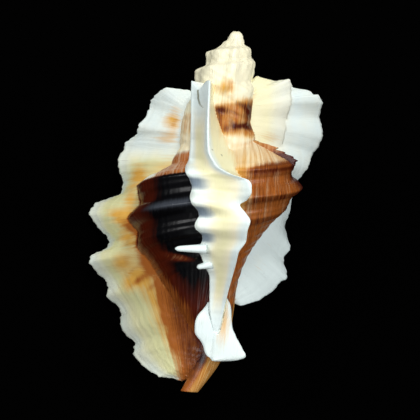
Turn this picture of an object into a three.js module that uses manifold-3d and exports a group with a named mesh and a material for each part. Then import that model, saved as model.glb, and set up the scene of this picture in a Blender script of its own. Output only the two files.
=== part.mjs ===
// A three-winged murex shell, lying on a flat surface with its aperture below.
// Millimetres. +Z is up, +Y runs toward the apex and +X is the side of the smaller wing.
// The origin is at the middle of the box around the shell, at its lowest level.
//
// Every place on the shell is given by three numbers:
//   down     distance from the apex along the coiling axis,
//   out      distance from that axis,
//   azimuth  angle around the axis in degrees: 0 is the back of the shell, which faces up,
//            and positive angles are toward +X. The shell grew toward smaller azimuths.

import * as THREE from 'three';
import { mergeVertices } from 'three/addons/utils/BufferGeometryUtils.js';
import Module from 'manifold-3d';

const wasm = await Module();
wasm.setup();

// Growth of the body whorl
const LIP_AZIMUTH = -112;
const LEFT_LIMB_TURN = 0.06;
const RIGHT_LIMB_TURN = 0.56;

// Section of the whorl, from the top of the ramp to the canal: [down, out] where the whorl
// passes the left side of the shell, then the same point half a turn earlier on the right.
const WHORL_STATIONS = [
  { left: [27.2, 8.6], right: [21.9, 4.7] },   // top of the ramp
  { left: [30.5, 13.7], right: [24.2, 10.0] }, // middle of the ramp
  { left: [33.6, 17.8], right: [26.4, 14.1] }, // shoulder cord
  { left: [37.2, 17.0], right: [28.6, 13.4] }, // hollow
  { left: [40.4, 19.3], right: [31.3, 15.9] }, // strongest cord
  { left: [43.0, 17.0], right: [33.2, 13.9] }, // hollow
  { left: [45.8, 17.0], right: [35.6, 12.9] }, // third cord
  { left: [48.0, 14.8], right: [37.6, 10.9] },
  { left: [51.0, 12.5], right: [41.3, 8.1] },
  { left: [54.0, 10.4], right: [44.2, 6.3] },
  { left: [60.0, 6.4], right: [49.2, 4.5] },
  { left: [66.0, 4.4], right: [54.5, 3.6] },
  { left: [74.0, 3.0], right: [62.0, 3.0] },
];

// Spire: its outline [down, out] on the right and on the left, and how its whorls wind.
// Shoulders lie one turn apart at levels that shrink by SPIRE_PITCH in the natural logarithm.
const SPIRE_RIGHT = [
  [0, 0.3], [0.8, 1.2], [2.7, 1.9], [3.8, 3.0], [5.5, 3.7], [8.4, 4.2], [15, 4.7], [22, 5.3],
  [28, 4.5], [40, 1.5],
];
const SPIRE_LEFT = [
  [0, 0.3], [0.8, 1.2], [1.9, 1.7], [3.3, 2.9], [4.7, 5.0], [7.0, 5.9], [8.7, 6.8], [11.1, 7.5],
  [16, 9.2], [20.6, 11.0], [25.6, 12.0], [28.5, 11.6], [34, 8], [42, 1.5],
];
const SPIRE_SHOULDER_DOWN = 21.3;
const SPIRE_PITCH = 0.615;
const SPIRE_STEP_DEPTH = 0.18;
const SPIRE_RAMP_SHARE = 0.3;
const SPIRE_WALL_TAPER = 0.95;
const SPIRE_STEPS_BEGIN = [0.5, 3];
const SPIRE_RIDGES_END = [10, 16];
const VARIX_ROWS = [-112, -2, 118];
const VARIX_RIDGE = 0.25;
const VARIX_RIDGE_WIDTH = 13;

// Wings. Margin points are [down, distance across from the axis] as seen from above, from the
// spire to the canal. The margin's azimuth changes along it: [down, azimuth].
const LEFT_WING = {
  marginAzimuth: [[13, -113], [38, -121.5], [50, -119.5], [62, -130], [69, -129], [73, -118]],
  rootAzimuth: -101,
  margin: [
    [14.6, 5.6], [12.9, 8.6], [12.6, 13.2], [13.4, 14.7], [15.4, 17.2], [19.1, 17.5], [22.6, 18.9],
    [24.4, 22.1], [27.6, 22.2], [31.5, 21.5], [35.3, 22.2], [36.8, 25.4], [37.5, 26.9],
    [39.6, 27.4], [42.0, 26.2], [45.6, 23.7], [47.1, 24.0], [48.5, 26.4], [50.1, 26.6],
    [52.5, 25.4], [55.5, 22.4], [57.1, 22.7], [58.9, 20.4], [62.1, 19.5], [64.5, 18.5],
    [66.2, 16.6], [68.9, 16.0], [71.3, 13.7], [72.8, 10.8], [72.8, 8.0], [73.2, 5.9],
  ],
  rootDown: [[0, 15], [0.14, 18], [0.3, 27], [0.45, 37], [0.6, 46], [0.75, 56], [0.9, 66], [1, 71.5]],
  lobes: [12, 21, 29, 40.2, 49.8, 57, 63.5, 69, 75],
  foldDepth: 1.3,
  rows: 44,
};
const RIGHT_WING = {
  marginAzimuth: [[9, 118], [20, 128.5], [50, 128], [57, 120]],
  rootAzimuth: 103,
  margin: [
    [11.5, 3.5], [8.8, 4.8], [9.9, 6.1], [10.3, 8.0], [9.4, 11.3], [10.5, 12.2], [10.7, 16.1],
    [11.5, 16.6], [11.3, 17.8], [13.1, 19.1], [16.8, 19.4], [21.7, 19.5], [25.5, 17.7],
    [28.8, 15.4], [33.2, 13.8], [38.7, 13.4], [44.2, 14.3], [45.8, 13.5], [48.8, 14.5],
    [50.6, 14.0], [51.2, 12.6], [53.7, 11.5], [55.4, 9.0], [56.8, 4.9], [56.0, 2.7],
  ],
  rootDown: [[0, 11], [0.27, 15], [0.5, 26], [0.75, 41], [0.9, 49], [1, 54]],
  lobes: [12, 19, 28, 36, 44, 51, 58],
  foldDepth: 0.7,
  rows: 42,
};
// The ear of the wing one turn older, which overlaps the right wing beside the spire
const SPIRE_EAR = {
  marginAzimuth: [[9, 108], [20, 114], [27, 110]],
  rootAzimuth: 84,
  margin: [
    [10.5, 3.5], [9.0, 4.8], [9.6, 8.5], [8.9, 11.7], [10.2, 12.5], [13.5, 12.4], [17.5, 11.9],
    [21.0, 11.5], [24.5, 11.2], [26.5, 7.7],
  ],
  rootDown: [[0, 11], [0.5, 16], [1, 24.5]],
  lobes: [8, 14, 20, 26],
  foldDepth: 0.35,
  rows: 14,
};
const WING_COLUMNS = 5;
const WING_ROOT_THICKNESS = 2.6;
const WING_EDGE_THICKNESS = 0.8;
const ROOT_EMBED = 1.4;

// Levels between which the folds become shallower toward the canal, and by what share
const FOLDS_CALM = [53, 60];
const CALMED = 0.65;

// How steeply things change from a wing's root to its margin, as powers of the share across
const FOLD_GROWTH = 1.3;
const TURN_GROWTH = 0.8;
const THINNING = 0.6;
const LEAST_REACH = 2;
const LEAST_ROOT_OUT = 1;

// The wing on the back of the shell: seen from above it is a strip from the old lip edge,
// past a crest, to the line where its rear slope meets the whorl. [down, across] and
// [down, height], across being positive toward +X and height measured up from the axis.
const STRIP_LIP_EDGE = [
  [11.8, -8.6], [21.3, -8.0], [25.7, -7.8], [30.3, -8.2], [33.7, -7.0], [36.7, -6.6],
  [39.2, -5.2], [41.1, -5.4], [43.7, -4.2], [47.0, -4.2], [49.9, -2.4], [52.2, -1.8],
  [57.5, -1.4], [63.5, 0.2],
];
const STRIP_CREST = [
  [11.8, -4.8], [19.1, -4.6], [25.5, -4.1], [29.0, -2.2], [30.5, 0.8], [31.4, 4.2], [32.4, 4.9],
  [33.8, 5.0], [35.4, 4.2], [36.4, 2.9], [38.0, 4.2], [39.6, 5.2], [41.5, 4.8], [43.5, 4.7],
  [46.0, 3.4], [48.0, 3.1], [54.1, 2.0], [60.5, 1.1], [63.5, 0.6],
];
const STRIP_CREST_HEIGHT = [
  [11.8, 9.8], [14.0, 11.8], [19.0, 14.4], [25.0, 16.8], [29.0, 19.3], [32.4, 21.5], [34.0, 21.2],
  [36.4, 19.0], [39.6, 20.8], [43.5, 18.6], [46.0, 17.0], [50.0, 13.4], [54.0, 9.8], [57.0, 7.6],
  [60.5, 5.8], [63.5, 4.6],
];
const STRIP_REAR_FOOT = [
  [11.8, -3.6], [14.5, -3.6], [17.4, -2.9], [21.3, -1.2], [23.6, 0.2], [26.8, 2.6], [32.0, 3.2],
  [44.0, 2.4], [50.0, 1.8], [59.0, 1.8], [63.5, 1.0],
];
const STRIP_LIP_HEIGHT = 1.9;
const STRIP_TOP = 11.8;
const STRIP_BOTTOM = 63.5;
const STRIP_ROWS = 36;
const STRIP_COLUMNS = 5;
const STRIP_LIP_OVERHANG = 0.4;
const STRIP_FOOT_HEIGHT = 0.6;

// Shape of the strip's two faces, as powers of the share from lip or foot to crest
const FRONT_ACROSS = 0.85;
const FRONT_RISE = 1.25;
const REAR_ACROSS = 0.9;
const REAR_RISE = 1.1;

// Tooth and spike on the old lip edge: [down, across, height]
const LIP_TOOTH = { base: [45.6, -3.0, 13.2], tip: [46.1, -9.3, 13.6], radius: 1.0 };
const THORN_TAPER = 0.5;
const THORN_RINGS = [0, 0.3, 0.65, 0.92, 1];
const THORN_TIP_ROUNDING = 0.5;
const THORN_SIDES = 8;
const LIP_SPIKE = { base: [48.6, -1.6, 10.6], tip: [49.5, -4.6, 10.8], radius: 0.9 };

// Fish-tail end of the old canal: left and right edges [down, across]
const FAN_LEFT = [
  [55.5, -1.2], [57.5, -2.0], [59.7, -3.5], [61.3, -3.8], [62.8, -3.7], [65.0, -2.1], [67.5, -1.1],
  [68.4, 0.1],
];
const FAN_RIGHT = [
  [55.5, 1.9], [57.2, 2.7], [61.1, 3.3], [62.8, 4.1], [65.6, 5.9], [66.7, 6.5], [67.3, 5.4],
  [68.0, 0.6],
];
const FAN_HEIGHT = [[55.5, 5.0], [60.0, 4.8], [64.0, 4.2], [68.4, 3.4]];
const FAN_THICKNESS = 1.3;
const FAN_TOP = 55.5;
const FAN_BOTTOM = 68.2;
const FAN_RIDGE = 0.8;
const FAN_RIDGE_LOSS = 0.6;
const FAN_KEEL = 2.5;
const FAN_ROWS = 10;
const FAN_COLUMNS = 6;

// The last canal: [down, across, height, radius]
const CANAL = [
  [42, 0.4, 2.0, 2.6], [50, 0.2, -0.6, 3.9], [55, 0.2, -1.3, 3.7], [60, 0.2, -1.6, 3.4],
  [65, 0.0, -1.6, 3.0], [69, -1.0, -1.4, 2.6], [72, -2.4, -1.0, 2.2], [75.2, -4.2, -0.6, 1.8],
];
const CANAL_SIDES = 12;

// Aperture
const APERTURE = { down: 40, out: 11.4, halfHeight: 8.6, halfWidth: 4.9 };
const APERTURE_PINCH = 0.28;
const APERTURE_SHRINK = 0.5;
const RIM_STEPS = [
  { turns: 0.012, scale: 1.25 }, { turns: -0.006, scale: 1.22 }, { turns: -0.013, scale: 1.12 },
];
const LUMEN_MOUTH_TURNS = -0.035;
const LUMEN_TAPER = 0.55;
const LUMEN_TAPER_POWER = 2.2;
const LUMEN_TURNS = 0.42;
const LUMEN_STEPS = 14;
const LUMEN_SIDES = 18;
const LIP_TEETH = 7;
const LIP_TOOTH_RADIUS = 0.8;
const LIP_TEETH_ANGLES = [42, 140];
const LIP_TEETH_REACH = 0.98;
const LIP_TEETH_BEHIND = 4;

// Body grid
const BODY_COLUMNS = 40;
const BODY_ROWS = 48;
const BODY_END = 66;
const BODY_ROUNDING = 58;
const BODY_ROW_SPREAD = 0.18;
const BODY_TOP = 0.25;
const BODY_BOTTOM = 65.85;
const BODY_LEAST_OUT = 0.2;
const LIP_STEP_START = 0.3;
const LIP_STEP_TURN = 359;

// Solving for the whorl's height at a distance across
const HEIGHT_ROUNDS = 6;
const HEIGHT_REACH = 1.05;

// Pose at rest on the lowest points of the two side wings: lean of the axis seen from above,
// then pitch and roll that bring the three contacts level
const AXIS_LEAN = 4.3;
const REST_PITCH = -1.23;
const REST_ROLL = 0.54;

const radians = THREE.MathUtils.degToRad;
const lerp = THREE.MathUtils.lerp;
const smoothstep = THREE.MathUtils.smoothstep;

// The point at the given place on the shell, with the apex at the origin and the axis along -Y
function place(down, out, azimuth) {
  return new THREE.Vector3(out * Math.sin(radians(azimuth)), -down, out * Math.cos(radians(azimuth)));
}

// Value at x of the straight-line curve through sorted [x, value] points
function along(points, x) {
  if (x <= points[0][0]) return points[0][1];
  for (let i = 1; i < points.length; i += 1) {
    const [x0, y0] = points[i - 1];
    const [x1, y1] = points[i];
    if (x <= x1) return lerp(y0, y1, (x - x0) / (x1 - x0));
  }
  return points[points.length - 1][1];
}

// Value at x of the smooth curve through sorted [x, value] points, with no overshoot
function smoothAlong(points, x) {
  const last = points.length - 1;
  if (x <= points[0][0]) return points[0][1];
  if (x >= points[last][0]) return points[last][1];
  let i = 0;
  while (x > points[i + 1][0]) i += 1;
  const slope = (k) => (points[k + 1][1] - points[k][1]) / (points[k + 1][0] - points[k][0]);
  const tangent = (k) => {
    if (k === 0) return slope(0);
    if (k === last) return slope(last - 1);
    const before = slope(k - 1);
    const after = slope(k);
    return before * after <= 0 ? 0 : (2 * before * after) / (before + after);
  };
  const width = points[i + 1][0] - points[i][0];
  const f = (x - points[i][0]) / width;
  const start = points[i][1] * (1 + 2 * f) * (1 - f) ** 2 + tangent(i) * width * f * (1 - f) ** 2;
  const end = points[i + 1][1] * f * f * (3 - 2 * f) + tangent(i + 1) * width * f * f * (f - 1);
  return start + end;
}

// Turns grown since the shell passed this azimuth, from 0 at the lip up to 1
function turnsBack(azimuth) {
  const turn = (azimuth - LIP_AZIMUTH) / 360;
  return turn - Math.floor(turn);
}

// Distance from the axis to the body whorl's surface at this level
function whorlRadius(down, turns) {
  const halfTurns = (turns - LEFT_LIMB_TURN) / (RIGHT_LIMB_TURN - LEFT_LIMB_TURN);
  const section = WHORL_STATIONS.map(({ left, right }) => [
    left[0] * (right[0] / left[0]) ** halfTurns,
    left[1] * (right[1] / left[1]) ** halfTurns,
  ]);
  return down < section[0][0] ? 0 : smoothAlong(section, down);
}

// Distance from the axis to the spire's surface at this level
function spireRadius(down, azimuth, turns) {
  const toLeft = (1 - Math.sin(radians(azimuth))) / 2;
  const outline = lerp(smoothAlong(SPIRE_RIGHT, down), smoothAlong(SPIRE_LEFT, down), toLeft);
  const level = Math.max(down, SPIRE_STEPS_BEGIN[0]);
  const whorls = Math.log(SPIRE_SHOULDER_DOWN / level) / SPIRE_PITCH - turns + SPIRE_RAMP_SHARE;
  const below = 1 - (whorls - Math.floor(whorls));
  const ramp = smoothstep(below, 0, SPIRE_RAMP_SHARE);
  const wall = 1 - SPIRE_WALL_TAPER * Math.max(0, below - SPIRE_RAMP_SHARE) / (1 - SPIRE_RAMP_SHARE);
  const fade = smoothstep(down, ...SPIRE_STEPS_BEGIN);
  let ridge = 0;
  for (const row of VARIX_ROWS) {
    const apart = Math.abs(((azimuth - row + 540) % 360) - 180);
    ridge = Math.max(ridge, Math.exp(-((apart / VARIX_RIDGE_WIDTH) ** 2)));
  }
  const swell = 1 + VARIX_RIDGE * ridge * fade * (1 - smoothstep(down, ...SPIRE_RIDGES_END));
  return outline * swell * (1 - SPIRE_STEP_DEPTH * fade * (1 - ramp * wall));
}

// Distance from the axis to the surface of all whorls together
function bodyRadius(down, azimuth) {
  const turns = turnsBack(azimuth);
  const radius = Math.max(spireRadius(down, azimuth, turns), whorlRadius(down, turns));
  const closing = Math.max(0, (down - BODY_ROUNDING) / (BODY_END - BODY_ROUNDING));
  return radius * Math.sqrt(Math.max(0, 1 - closing * closing));
}

// A manifold solid from a list of points and triangles given by index
function solidOf(points, triangles) {
  const geometry = new THREE.BufferGeometry();
  geometry.setAttribute('position', new THREE.Float32BufferAttribute(points.flatMap((p) => p.toArray()), 3));
  geometry.setIndex(triangles.flat());
  const merged = mergeVertices(geometry, 1e-4);
  const corners = merged.getAttribute('position');
  const index = merged.getIndex().array;
  let volume = 0;
  const a = new THREE.Vector3();
  const b = new THREE.Vector3();
  const c = new THREE.Vector3();
  for (let i = 0; i < index.length; i += 3) {
    a.fromBufferAttribute(corners, index[i]);
    b.fromBufferAttribute(corners, index[i + 1]);
    c.fromBufferAttribute(corners, index[i + 2]);
    volume += a.dot(b.cross(c));
  }
  const triVerts = [];
  for (let i = 0; i < index.length; i += 3) {
    const [p, q, r] = [index[i], index[i + 1], index[i + 2]];
    if (p === q || q === r || r === p) continue;
    triVerts.push(...(volume > 0 ? [p, q, r] : [p, r, q]));
  }
  return new wasm.Manifold(new wasm.Mesh({
    numProp: 3,
    vertProperties: new Float32Array(corners.array),
    triVerts: new Uint32Array(triVerts),
  }));
}

// A closed solid through a list of rings with as many points each
function loft(rings) {
  const sides = rings[0].length;
  const points = rings.flat();
  const triangles = [];
  for (let row = 0; row + 1 < rings.length; row += 1) {
    for (let side = 0; side < sides; side += 1) {
      const next = (side + 1) % sides;
      const [a, b] = [row * sides + side, row * sides + next];
      triangles.push([a, b, b + sides], [a, b + sides, a + sides]);
    }
  }
  for (const [row, flip] of [[0, true], [rings.length - 1, false]]) {
    const centre = new THREE.Vector3();
    rings[row].forEach((p) => centre.add(p));
    points.push(centre.divideScalar(sides));
    for (let side = 0; side < sides; side += 1) {
      const edge = [row * sides + side, row * sides + ((side + 1) % sides)];
      if (flip) edge.reverse();
      triangles.push([...edge, points.length - 1]);
    }
  }
  return solidOf(points, triangles);
}

// A closed slab between two sheets of points, front and back, each a list of rows
function slab(front, back) {
  const rows = front.length;
  const columns = front[0].length;
  const points = [...front.flat(), ...back.flat()];
  const behind = rows * columns;
  const triangles = [];
  for (let row = 0; row + 1 < rows; row += 1) {
    for (let column = 0; column + 1 < columns; column += 1) {
      const a = row * columns + column;
      const [b, c, d] = [a + 1, a + columns, a + columns + 1];
      triangles.push([a, b, d], [a, d, c]);
      triangles.push([a + behind, d + behind, b + behind], [a + behind, c + behind, d + behind]);
    }
  }
  const rim = [];
  for (let column = 0; column + 1 < columns; column += 1) rim.push(column);
  for (let row = 0; row + 1 < rows; row += 1) rim.push(row * columns + columns - 1);
  for (let column = columns - 1; column > 0; column -= 1) rim.push((rows - 1) * columns + column);
  for (let row = rows - 1; row > 0; row -= 1) rim.push(row * columns);
  rim.forEach((a, i) => {
    const b = rim[(i + 1) % rim.length];
    triangles.push([b, a, a + behind], [b, a + behind, b + behind]);
  });
  return solidOf(points, triangles);
}

// All whorls as one solid, with the step of the aperture wall at the lip
function makeBody() {
  const rings = [];
  for (let row = 0; row <= BODY_ROWS; row += 1) {
    const level = row / BODY_ROWS;
    const share = lerp(level, level ** 2, BODY_ROW_SPREAD);
    const down = lerp(BODY_TOP, BODY_BOTTOM, share);
    const ring = [];
    for (let column = 0; column <= BODY_COLUMNS; column += 1) {
      const azimuth = LIP_AZIMUTH + LIP_STEP_START + (LIP_STEP_TURN * column) / BODY_COLUMNS;
      ring.push(place(down, Math.max(bodyRadius(down, azimuth), BODY_LEAST_OUT), azimuth));
    }
    rings.push(ring);
  }
  return loft(rings);
}

// Points along a line of [down, across] corners, evenly spaced, each with its fraction of the way
function walk(corners, count) {
  const lengths = [0];
  for (let i = 1; i < corners.length; i += 1) {
    const step = Math.hypot(corners[i][0] - corners[i - 1][0], corners[i][1] - corners[i - 1][1]);
    lengths.push(lengths[i - 1] + step);
  }
  const total = lengths[lengths.length - 1];
  const downs = corners.map((corner, i) => [lengths[i] / total, corner[0]]);
  const acrosses = corners.map((corner, i) => [lengths[i] / total, corner[1]]);
  return Array.from({ length: count + 1 }, (_, i) => {
    const way = i / count;
    return { way, down: along(downs, way), across: along(acrosses, way) };
  });
}

// Height of a wing's radial folds at this level: 1 on a lobe and -1 in a notch
function foldWave(lobes, down) {
  const phase = along(lobes.map((lobe, i) => [lobe, i]), down);
  return Math.cos(2 * Math.PI * phase);
}

// One wing as a folded sheet from its root in the whorl to its lobed margin
function makeWing(wing) {
  const front = [];
  const back = [];
  for (const tip of walk(wing.margin, wing.rows)) {
    const tipAzimuth = smoothAlong(wing.marginAzimuth, tip.down);
    const tipOut = tip.across / Math.abs(Math.sin(radians(tipAzimuth)));
    const rootDown = along(wing.rootDown, tip.way);
    const rootOut = Math.max(bodyRadius(rootDown, wing.rootAzimuth) - ROOT_EMBED, LEAST_ROOT_OUT);
    const foldDepth = wing.foldDepth * (1 - CALMED * smoothstep(tip.down, ...FOLDS_CALM));
    const frontRow = [];
    const backRow = [];
    for (let column = 0; column <= WING_COLUMNS; column += 1) {
      const across = column / WING_COLUMNS;
      const down = lerp(rootDown, tip.down, across);
      const out = lerp(rootOut, tipOut, across);
      const fold = foldDepth * foldWave(wing.lobes, tip.down) * across ** FOLD_GROWTH;
      const middle = lerp(wing.rootAzimuth, tipAzimuth, across ** TURN_GROWTH);
      const half = lerp(WING_ROOT_THICKNESS, WING_EDGE_THICKNESS, across ** THINNING) / 2;
      const toUp = -Math.sign(wing.rootAzimuth);
      const reach = Math.max(out, LEAST_REACH);
      const turn = (shift) => middle + (toUp * THREE.MathUtils.radToDeg(shift)) / reach;
      frontRow.push(place(down, out, turn(fold + half)));
      backRow.push(place(down, out, turn(fold - half)));
    }
    front.push(frontRow);
    back.push(backRow);
  }
  return slab(front, back);
}

// Height of the whorl's surface above the axis at this level and distance across
function bodyHeight(down, across) {
  let radius = Math.abs(across) * HEIGHT_REACH;
  let azimuth = 0;
  for (let i = 0; i < HEIGHT_ROUNDS; i += 1) {
    radius = Math.max(bodyRadius(down, azimuth), Math.abs(across) * HEIGHT_REACH);
    azimuth = THREE.MathUtils.radToDeg(Math.asin(across / radius));
  }
  return Math.sqrt(radius * radius - across * across);
}

// The wing on the back, from the old lip edge over its crest to the rear foot
function makeStrip() {
  const front = [];
  const back = [];
  for (let row = 0; row <= STRIP_ROWS; row += 1) {
    const down = lerp(STRIP_TOP, STRIP_BOTTOM, row / STRIP_ROWS);
    const lip = smoothAlong(STRIP_LIP_EDGE, down);
    const crest = smoothAlong(STRIP_CREST, down);
    const crestHeight = smoothAlong(STRIP_CREST_HEIGHT, down);
    const foot = smoothAlong(STRIP_REAR_FOOT, down);
    const lipHeight = bodyHeight(down, lip) + STRIP_LIP_HEIGHT;
    const footHeight = bodyHeight(down, foot) - ROOT_EMBED;
    const lipRoot = lipHeight - STRIP_LIP_HEIGHT - ROOT_EMBED;
    const frontRow = [new THREE.Vector3(lip + STRIP_LIP_OVERHANG, -down, lipRoot)];
    const backRow = [new THREE.Vector3(foot, -down, footHeight)];
    for (let column = 0; column < STRIP_COLUMNS; column += 1) {
      const rise = column / (STRIP_COLUMNS - 1);
      frontRow.push(new THREE.Vector3(
        lerp(lip, crest - WING_EDGE_THICKNESS / 2, rise ** FRONT_ACROSS),
        -down,
        lerp(lipHeight, crestHeight, rise ** FRONT_RISE),
      ));
      backRow.push(new THREE.Vector3(
        lerp(foot, crest + WING_EDGE_THICKNESS / 2, rise ** REAR_ACROSS),
        -down,
        lerp(footHeight + STRIP_FOOT_HEIGHT, crestHeight, rise ** REAR_RISE),
      ));
    }
    front.push(frontRow);
    back.push(backRow);
  }
  return slab(front, back);
}

// The flared end of the old canal
function makeFan() {
  const front = [];
  const back = [];
  for (let row = 0; row <= FAN_ROWS; row += 1) {
    const level = row / FAN_ROWS;
    const left = smoothAlong(FAN_LEFT, lerp(FAN_TOP, FAN_LEFT[FAN_LEFT.length - 1][0], level));
    const right = smoothAlong(FAN_RIGHT, lerp(FAN_TOP, FAN_RIGHT[FAN_RIGHT.length - 1][0], level));
    const down = lerp(FAN_TOP, FAN_BOTTOM, level);
    const height = along(FAN_HEIGHT, down);
    const frontRow = [];
    const backRow = [];
    for (let column = 0; column <= FAN_COLUMNS; column += 1) {
      const across = column / FAN_COLUMNS;
      const middle = Math.sin(Math.PI * across);
      const x = lerp(left, right, across);
      const ridge = FAN_RIDGE * middle * (1 - FAN_RIDGE_LOSS * level);
      const keel = FAN_KEEL * middle * (1 - level);
      frontRow.push(new THREE.Vector3(x, -down, height + ridge));
      backRow.push(new THREE.Vector3(x, -down, height - FAN_THICKNESS - keel));
    }
    front.push(frontRow);
    back.push(backRow);
  }
  return slab(front, back);
}

// A cone with a rounded tip between two [down, across, height] places
function makeThorn({ base, tip, radius }) {
  const start = new THREE.Vector3(base[1], -base[0], base[2]);
  const end = new THREE.Vector3(tip[1], -tip[0], tip[2]);
  const path = new THREE.LineCurve3(start, end);
  const { normals, binormals } = path.computeFrenetFrames(THORN_RINGS.length, false);
  const rings = THORN_RINGS.map((way, i) => {
    const middle = path.getPoint(way);
    const size = radius * (1 - THORN_TAPER * way) * (way < 1 ? 1 : THORN_TIP_ROUNDING);
    return Array.from({ length: THORN_SIDES }, (_, side) => {
      const angle = (2 * Math.PI * side) / THORN_SIDES;
      return middle.clone()
        .addScaledVector(normals[i], size * Math.cos(angle))
        .addScaledVector(binormals[i], size * Math.sin(angle));
    });
  });
  return loft(rings);
}

// The last canal, a tapering tube that bends toward the left at its end
function makeCanal() {
  const spine = new THREE.CatmullRomCurve3(CANAL.map(([down, across, height]) => (
    new THREE.Vector3(across, -down, height)
  )));
  const steps = 2 * (CANAL.length - 1);
  const radii = CANAL.map(([, , , radius], i) => [i / (CANAL.length - 1), radius]);
  const rings = Array.from({ length: steps + 1 }, (_, step) => {
    const middle = spine.getPoint(step / steps);
    const radius = along(radii, step / steps);
    return Array.from({ length: CANAL_SIDES }, (_, side) => {
      const angle = (2 * Math.PI * side) / CANAL_SIDES;
      return new THREE.Vector3(
        middle.x + radius * Math.cos(angle),
        middle.y,
        middle.z + radius * Math.sin(angle),
      );
    });
  });
  return loft(rings);
}

// A ring of points around the aperture's oval, grown or shrunk by scale, at this azimuth
function apertureRing(turns, scale, sides) {
  const shrink = Math.exp(-APERTURE_SHRINK * turns);
  return Array.from({ length: sides }, (_, side) => {
    const angle = (2 * Math.PI * side) / sides;
    const pinch = 1 - APERTURE_PINCH * Math.max(0, Math.cos(angle));
    const down = APERTURE.down * shrink + APERTURE.halfHeight * shrink * scale * Math.cos(angle);
    const out = APERTURE.out * shrink + APERTURE.halfWidth * shrink * scale * pinch * Math.sin(angle);
    return place(down, out, LIP_AZIMUTH + 360 * turns);
  });
}

// The hollow that curls back into the whorl from the aperture
function makeLumen() {
  const rings = [];
  for (let step = 0; step <= LUMEN_STEPS; step += 1) {
    const turns = lerp(LUMEN_MOUTH_TURNS, LUMEN_TURNS, step / LUMEN_STEPS);
    const deep = Math.max(0, turns) / LUMEN_TURNS;
    rings.push(apertureRing(turns, 1 - LUMEN_TAPER * deep ** LUMEN_TAPER_POWER, LUMEN_SIDES));
  }
  return loft(rings);
}

// The raised rim around the aperture
function makeRim() {
  return loft(RIM_STEPS.map(({ turns, scale }) => apertureRing(turns, scale, LUMEN_SIDES)));
}

// Small teeth inside the outer lip
function makeLipTeeth() {
  const teeth = [];
  for (let i = 0; i < LIP_TEETH; i += 1) {
    const angle = radians(lerp(...LIP_TEETH_ANGLES, i / (LIP_TEETH - 1)));
    const down = APERTURE.down + LIP_TEETH_REACH * APERTURE.halfHeight * Math.cos(angle);
    const out = APERTURE.out + LIP_TEETH_REACH * APERTURE.halfWidth * Math.sin(angle);
    const ball = new THREE.SphereGeometry(LIP_TOOTH_RADIUS, 8, 6);
    ball.deleteAttribute('normal');
    ball.deleteAttribute('uv');
    const centre = place(down, out, LIP_AZIMUTH + LIP_TEETH_BEHIND);
    ball.translate(centre.x, centre.y, centre.z);
    const corners = ball.getAttribute('position');
    const points = Array.from({ length: corners.count }, (_, k) => (
      new THREE.Vector3().fromBufferAttribute(corners, k)
    ));
    const index = ball.getIndex().array;
    const triangles = [];
    for (let k = 0; k < index.length; k += 3) triangles.push([index[k], index[k + 1], index[k + 2]]);
    teeth.push(solidOf(points, triangles));
  }
  return teeth;
}

// The solid without the small gaps that are sealed between the pieces joined in it
function outerSkin(solid) {
  const skins = solid.decompose();
  return skins.reduce((largest, skin) => (skin.volume() > largest.volume() ? skin : largest));
}

function makeShell() {
  let shell = makeBody();
  for (const wing of [LEFT_WING, RIGHT_WING, SPIRE_EAR]) shell = shell.add(makeWing(wing));
  shell = shell.add(makeStrip()).add(makeFan()).add(makeCanal()).add(makeRim());
  shell = shell.add(makeThorn(LIP_TOOTH)).add(makeThorn(LIP_SPIKE));
  shell = shell.subtract(makeLumen());
  for (const tooth of makeLipTeeth()) shell = shell.add(tooth);
  return outerSkin(shell);
}

// The solid as a mesh, in the pose in which the shell lies at rest
function layDown(solid) {
  const { vertProperties, triVerts, numProp } = solid.getMesh();
  const positions = [];
  for (let i = 0; i < vertProperties.length; i += numProp) {
    positions.push(vertProperties[i], vertProperties[i + 1], vertProperties[i + 2]);
  }
  const geometry = new THREE.BufferGeometry();
  geometry.setAttribute('position', new THREE.Float32BufferAttribute(positions, 3));
  geometry.setIndex(Array.from(triVerts));
  geometry.rotateZ(radians(-AXIS_LEAN));
  geometry.rotateX(radians(REST_PITCH));
  geometry.rotateY(radians(REST_ROLL));
  geometry.computeBoundingBox();
  const { min, max } = geometry.boundingBox;
  geometry.translate(-(min.x + max.x) / 2, -(min.y + max.y) / 2, -min.z);
  geometry.computeVertexNormals();
  return geometry;
}

const shellMaterial = new THREE.MeshStandardMaterial({ color: 0xeae6d2, roughness: 0.35, metalness: 0 });
const shell = new THREE.Mesh(layDown(makeShell()), shellMaterial);
shell.name = 'shell';

const object = new THREE.Group();
object.add(shell);

export default object;
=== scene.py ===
# The looks of a three-winged murex shell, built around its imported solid.
# Sizes are in millimetres until the mesh is made, and the shell is described as in its solid:
#   down     distance from the apex along the coiling axis,
#   out      distance from that axis,
#   azimuth  angle around the axis in degrees: 0 is the back, which faces up, and positive
#            angles are toward +X. The shell grew toward smaller azimuths.

import math
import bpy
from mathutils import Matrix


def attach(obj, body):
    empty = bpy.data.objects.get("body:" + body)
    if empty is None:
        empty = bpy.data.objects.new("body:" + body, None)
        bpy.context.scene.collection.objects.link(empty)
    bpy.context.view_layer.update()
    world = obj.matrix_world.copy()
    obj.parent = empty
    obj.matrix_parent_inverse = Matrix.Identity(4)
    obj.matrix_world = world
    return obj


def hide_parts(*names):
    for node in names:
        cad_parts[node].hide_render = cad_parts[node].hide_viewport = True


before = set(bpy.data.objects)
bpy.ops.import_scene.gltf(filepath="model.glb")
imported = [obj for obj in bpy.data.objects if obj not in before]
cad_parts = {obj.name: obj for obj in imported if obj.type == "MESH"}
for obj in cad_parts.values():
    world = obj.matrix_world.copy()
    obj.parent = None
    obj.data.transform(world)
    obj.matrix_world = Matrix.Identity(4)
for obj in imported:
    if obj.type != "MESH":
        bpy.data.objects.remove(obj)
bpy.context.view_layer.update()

from types import SimpleNamespace

import bmesh
import bpy
import numpy as np
from mathutils import Vector, kdtree

MM = 0.001

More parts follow.
